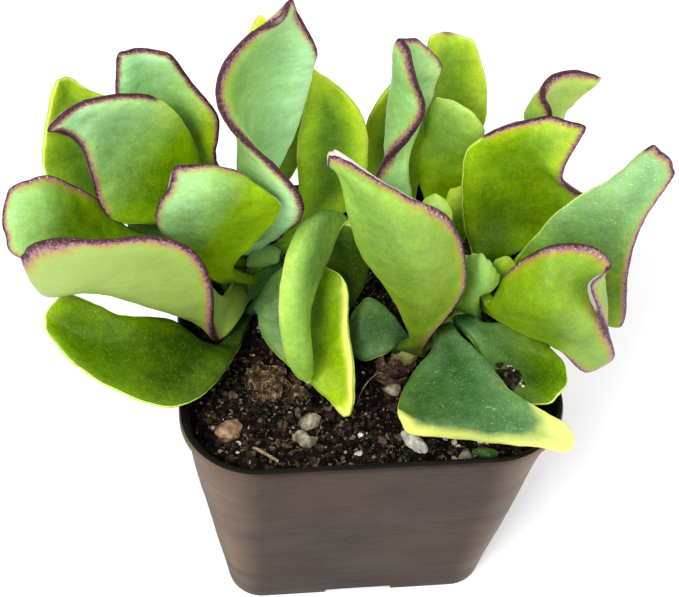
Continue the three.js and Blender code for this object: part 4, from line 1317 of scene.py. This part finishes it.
def worn_spots(made, skin, wax):
    speck = made.times(made.fade(made.cells(0.6), 0.22, 0.1), 0.14)
    skin = made.mix(speck, skin, colour(206, 224, 150))
    scratch = made.noise(0.8, 6, made.place((0.3, 0.5, 2.2)), 0.8)
    flecks = made.noise(0.35, 3, made.place((1, 1.6, 1)))
    worn = made.math("MAXIMUM", made.fade(scratch, 0.6, 0.66, 0, 0.6),
                     made.fade(flecks, 0.64, 0.69, 0, 0.8))
    worn = made.times(worn, made.value("scratches"))
    worn = made.times(worn, made.plus(wax, 0.1), clamp=True)
    return made.mix(worn, skin, colour(214, 222, 200))


# %% The leaf's margins
def pale_band(made, skin):
    width = made.times(made.value("pale"), made.fade(made.cloud, 0.3, 0.7, 0.85, 1.15))
    ratio = made.math("DIVIDE", made.minus(made.margin, RIM_HALF / 2), width)
    return made.mix(made.fade(ratio, 1.8, 0.1, 0, 0.8), skin, colour(222, 224, 124))


def purple_band(made, skin):
    ratio = made.math("DIVIDE", made.behind_edge_highlight, made.band)
    ratio = made.plus(ratio, made.fade(made.grain, 0.2, 0.8, -0.3, 0.3))
    blush = made.times(made.fade(ratio, 2.0, 0.8, 0, 0.55), made.strong)
    skin = made.mix(blush, skin, colour(172, 126, 62))
    maroon = made.ramp(ratio, (0.1, colour(60, 34, 40)), (0.35, colour(98, 64, 72)),
                       (0.6, colour(144, 110, 116)), (0.9, colour(164, 124, 104)))
    fleck = made.noise(0.4, 4, rough=0.7)
    maroon = made.mix(made.fade(fleck, 0.53, 0.66, 0, 0.55), maroon, colour(180, 154, 158))
    maroon = made.mix(made.fade(fleck, 0.47, 0.34, 0, 0.6), maroon, colour(70, 40, 48))
    return made.mix(made.times(made.fade(ratio, 1.15, 0.8), made.strong), skin, maroon)


def outer_line(made, skin):
    # Where the white stretch is wide, the line on a purple margin turns whitish: a painted
    # highlight along the folded edge.
    fold_highlight = made.fade(made.value("white"), 0.2, 0.6)
    on_purple = made.mix(fold_highlight, colour(74, 46, 52), colour(208, 200, 192))
    line = made.mix(made.strong, colour(150, 178, 66), on_purple)
    inwards = made.plus(made.behind_edge_highlight, made.fade(made.grain, 0.2, 0.8, -0.1, 0.1))
    return made.mix(made.fade(inwards, 0.08, -0.08, 0, 0.85), skin, line)


def margin_dots(made, skin):
    beat = made.math("FRACT", made.math("DIVIDE", made.value("rim"), DOT_SPACING))
    beat = made.times(made.minus(beat, 0.5), DOT_SPACING)
    middle = made.times(made.band, made.fade(made.cloud, 0.35, 0.65, 0.4, 0.8))
    depth = made.minus(made.behind_edge_highlight, middle)
    away = made.math("SQRT", made.plus(made.times(beat, beat), made.times(depth, depth)))
    away = made.plus(away, made.fade(made.mottle, 0.35, 0.6, 0.2, 0))
    dot = made.times(made.fade(away, DOT_RADIUS, DOT_RADIUS / 2), made.value("dots"))
    dot = made.times(dot, made.fade(made.value("purple"), 0.4, 0.7))
    dot = made.times(dot, made.fade(made.noise(2.3, 1), 0.4, 0.5))
    return made.mix(made.times(dot, 0.7), skin, colour(222, 206, 200))


# %% Put the leaf's layers together
def leaf_skin():
    made = LeafSkin()
    skin, wax = green_flesh(made)
    skin = worn_spots(made, skin, wax)
    for layer in (pale_band, purple_band, outer_line, margin_dots):
        skin = layer(made, skin)
    bump = made.bump(made.mottle, 0.08, made.bump(made.grain, 0.03))
    return made.surface(Base_Color=skin, Roughness=made.fade(made.streak, 0.3, 0.7, 0.32, 0.5),
                        Specular_IOR_Level=0.2, Normal=bump, Subsurface_Weight=0.12,
                        Subsurface_Radius=(0.8, 1, 0.1), Subsurface_Scale=1.5 * MM)


leaf_finish = leaf_skin()
print("The leaves' material has", len(leaf_finish.node_tree.nodes), "nodes")

# %% [markdown]
# With the shape, the measures and the finish ready, a loop makes every leaf of the part. A real
# leaf isn't even, so each also gets soft dents of about a fifth of a millimetre.

# %% Make all the leaves
DENT_SIZE, DENT_DEPTH = 3.5, 0.18

faces = 0
for slot, looks in LOOKS:
    for node, look in looks.items():
        leaf = smooth_leaf(node)
        roughen(leaf, DENT_SIZE, DENT_DEPTH)
        if node == "leaf_young_light":
            scallop(leaf, SCALLOP_PITCH, SCALLOP_DEPTH)
        paint_leaf(leaf, **look)
        cover(leaf, leaf_finish)
        belongs(leaf, slot, node)
        faces += len(leaf.data.polygons)
print("The leaves have", faces, "faces")

# %% [markdown]
# Three young leaves, not in the part, close gaps between the large ones where the photograph shows
# dark green. Each is a small sheet between four corners, arched in the middle and given a
# thickness, and it starts inside the left stem.

# %% Young leaves in the gaps
YOUNG_THICKNESS = 1.1
NO_MARGIN = 5


def young_leaf(name, corners, arch, tone, bloom):
    """A small blade: corners at the root (low, high) and at the tip (high, low), in mm."""
    blade = new_piece(bpy.ops.mesh.primitive_grid_add, name, x_subdivisions=6, y_subdivisions=4,
                      size=2)
    root_low, root_high, tip_high, tip_low = (np.array(c, float) for c in corners)
    flat = places(blade)
    along, across = (flat[:, 0:1] + 1) / 2, (flat[:, 1:2] + 1) / 2
    middle = 0.5 + (across - 0.5) * (1 - 0.5 * along ** 3)
    sheet = (1 - along) * ((1 - middle) * root_low + middle * root_high)
    sheet += along * ((1 - middle) * tip_low + middle * tip_high)
    sheet += np.array(arch) * 4 * across * (1 - across) * np.sqrt(along)
    set_places(blade, sheet * MM)
    modify(blade, "SOLIDIFY", thickness=YOUNG_THICKNESS * MM, offset=0)
    modify(blade, "SUBSURF", levels=3, render_levels=3)
    roughen(blade, 3, 0.15)
    same_on_points(blade, margin=NO_MARGIN, tone=tone, scratches=0.4, bloom=bloom, pale=THIN_LINE)
    edit(blade, face_outwards)
    shade_smooth(blade)
    cover(blade, leaf_finish)
    belongs(blade, "leaf_dark")


# Their low tones are partly their own dark green and partly painted shade, for the shade in the
# gaps they fill.
young_leaf("young_leaf_left", [(-21.5, 8, 63.5), (-21.5, 8, 66.5), (-39.5, 9, 73), (-39.5, 9, 69)],
           (0, -1, 0), 0.3, 0.1)
young_leaf("young_leaf_inner", [(-20, 3.5, 56), (-20, 6, 61.5), (-10.5, 10, 63), (-12, 6, 55)],
           (0, 0, 0.6), 0.2, 0.2)
young_leaf("young_leaf_fold", [(-20, 5.5, 63), (-19, 7, 67.5), (-13.5, 7, 67), (-14.5, 5.5, 63)],
           (0, -1, 0), 0.5, 0.25)
print("Young leaves are in")

# %% [markdown]
# Where the middle stem leaves the mix, dry brown scales of old leaf bases wrap round it. Each is an
# arc of a thin tube: a cylinder without ends, of which only the faces at the front stay. It is
# given a thickness, and noise crumples it.

# %% Papery scales round the middle stem
SCALE_THICKNESS = 0.25
# Each scale's place, radius, height, lean, facing and reach, in millimetres and radians.
SCALES = [((5.2, -7.6, 51.6), 3, 3.2, (0.1, 0.35), -1.9, 1.3),
          ((6.2, -7.4, 53.2), 2.9, 2.6, (0.25, 0.6), -1.4, 1.1),
          ((4.6, -8.2, 50.9), 3.8, 2, (-0.1, 0.2), -1.6, 0.9)]


def papery():
    made = Finish("papery_scale")
    vein = made.noise(0.6, 5, made.place((2.4, 2.4, 0.6)), 0.7)
    base = made.ramp(vein, (0.3, colour(34, 22, 19)), (0.5, colour(72, 51, 40)),
                     (0.7, colour(142, 116, 92)))
    stained = made.fade(made.noise(1.6, 3), 0.45, 0.65, 0, 0.6)
    base = made.mix(stained, base, colour(44, 29, 27))
    return made.surface(Base_Color=base, Roughness=0.7, Normal=made.bump(vein, 0.15))


def model_scale(name, at, radius, height, lean, facing, reach):
    """One scale: an arc of a tube that faces one way."""
    scale = new_piece(bpy.ops.mesh.primitive_cylinder_add, name, vertices=32, radius=radius * MM,
                      depth=height * MM, end_fill_type="NOTHING")
    ahead = Vector((math.cos(facing), math.sin(facing), 0))

    def cut_arc():
        bpy.ops.mesh.subdivide(number_cuts=2)
        pick_parts(scale, "FACE", lambda f: f.normal.dot(ahead) < math.cos(reach))
        bpy.ops.mesh.delete(type="FACE")

    edit(scale, cut_arc)
    tilt = Matrix.Rotation(lean[0], 4, "X") @ Matrix.Rotation(lean[1], 4, "Y")
    scale.data.transform(Matrix.Translation(Vector(at) * MM) @ tilt)
    modify(scale, "SOLIDIFY", thickness=SCALE_THICKNESS * MM, offset=0)
    modify(scale, "SUBSURF", levels=2, render_levels=2)
    roughen(scale, 1.6, 0.55, seed=radius)
    shade_smooth(scale)
    return scale


scale_finish = papery()
for k, shape in enumerate(SCALES):
    scale = model_scale("papery_scale_" + str(k + 1), *shape)
    cover(scale, scale_finish)
    belongs(scale, "bark")
print("Scales:", len(SCALES))

# %% [markdown]
# Two stray bits remain. Crumbs of bark and grit lie on the low leaf at the right, and a green
# fragment of a leaf lies on the mix at the front. The crumbs need the leaf's height below them, so
# a straight line is dropped on to its mesh.

# %% Crumbs on the low leaf
CRUMB_PATCH = (22.3, -17.8)
LEAF_CRUMBS, LEAF_GRIT = 60, 34
low_leaf_shape = skin_tree(bpy.data.objects["fine_leaf_right_low"])


def leaf_height(x, y):
    """The top of the low leaf at a place, in millimetres."""
    hit = low_leaf_shape.ray_cast(Vector((x, y, 100)) * MM, Vector((0, 0, -1)))[0]
    return hit.z / MM if hit else MIX_LEVEL


def near_patch(spread):
    return tuple(draw.gauss(middle, spread) for middle in CRUMB_PATCH)


scatter(model_chip("crumb", (1, 0.8, 0.5), 0.15), "leaf_crumbs", "bark", bark_finish,
        [near_patch(1.2) for _ in range(LEAF_CRUMBS)], (0.3, 1.3), leaf_height)
scatter(model_chip("grain", (1, 0.8, 0.6), 0.12), "leaf_grit", "grey_stone", grit_finish,
        [near_patch(1.7) for _ in range(LEAF_GRIT)], (0.2, 0.8), leaf_height)

# %% A fallen fragment of a leaf
FRAGMENT_AT = (18.4, -26.6, 50.7)
FRAGMENT_HALF_SIZE = (2.3, 0.9, 0.35)

fragment = new_piece(bpy.ops.mesh.primitive_uv_sphere_add, "leaf_fragment", segments=32,
                     ring_count=16, radius=1 * MM)
turn = Matrix.Rotation(-0.15, 4, "Z") @ Matrix.Rotation(0.5, 4, "X")
fragment.data.transform(Matrix.Translation(Vector(FRAGMENT_AT) * MM) @ turn
                        @ Matrix.Diagonal((*FRAGMENT_HALF_SIZE, 1)))
roughen(fragment, 1.8, 0.25)
same_on_points(fragment, margin=NO_MARGIN, tone=0.26, scratches=1, bloom=0.1, pale=THIN_LINE)
shade_smooth(fragment)
cover(fragment, leaf_finish)
belongs(fragment, "leaf_dark")
print("The fragment has", len(fragment.data.polygons), "faces")

# %% [markdown]
# The photograph was taken on white, in soft light from all round. A white floor under a nearly
# white sky gives that, with one large lamp from the upper left for shape and a weaker one on the
# right to open the shadows. The view's look adds a little contrast, as the photograph has.

# %% Floor and sky
FLOOR_SIZE = 4
SKY_STRENGTH = 0.7


def plain_floor():
    made = Finish("floor")
    tint = made.mix(made.noise(40, 2), colour(250, 250, 250), colour(246, 246, 246))
    return made.surface(Base_Color=tint, Roughness=0.9)


floor = new_piece(bpy.ops.mesh.primitive_plane_add, "floor", size=FLOOR_SIZE)
cover(floor, plain_floor())

sky = bpy.data.worlds.new("sky")
sky.use_nodes = True
background = sky.node_tree.nodes["Background"]
background.inputs["Color"].default_value = (1, 1, 1, 1)
background.inputs["Strength"].default_value = SKY_STRENGTH
bpy.context.scene.world = sky
print("The floor is", FLOOR_SIZE, "m wide")

# %% Lamps
LAMP_AIM = (0, 0, 60)


def lamp(name, at, size, power):
    """A square lamp at a place in millimetres, turned to face the plant."""
    light = bpy.data.lights.new(name, "AREA")
    light.size = size * MM
    light.energy = power
    holder = bpy.data.objects.new(name, light)
    bpy.context.scene.collection.objects.link(holder)
    facing = (Vector(LAMP_AIM) - Vector(at)).to_track_quat("-Z", "Y")
    holder.matrix_world = Matrix.Translation(Vector(at) * MM) @ facing.to_matrix().to_4x4()


lamp("key", (-220, -260, 420), 200, 1.85)
lamp("fill", (320, -200, 320), 300, 0.75)
bpy.context.scene.view_settings.view_transform = "Standard"
bpy.context.scene.view_settings.look = "Medium High Contrast"
print("The view's look is", bpy.context.scene.view_settings.look)
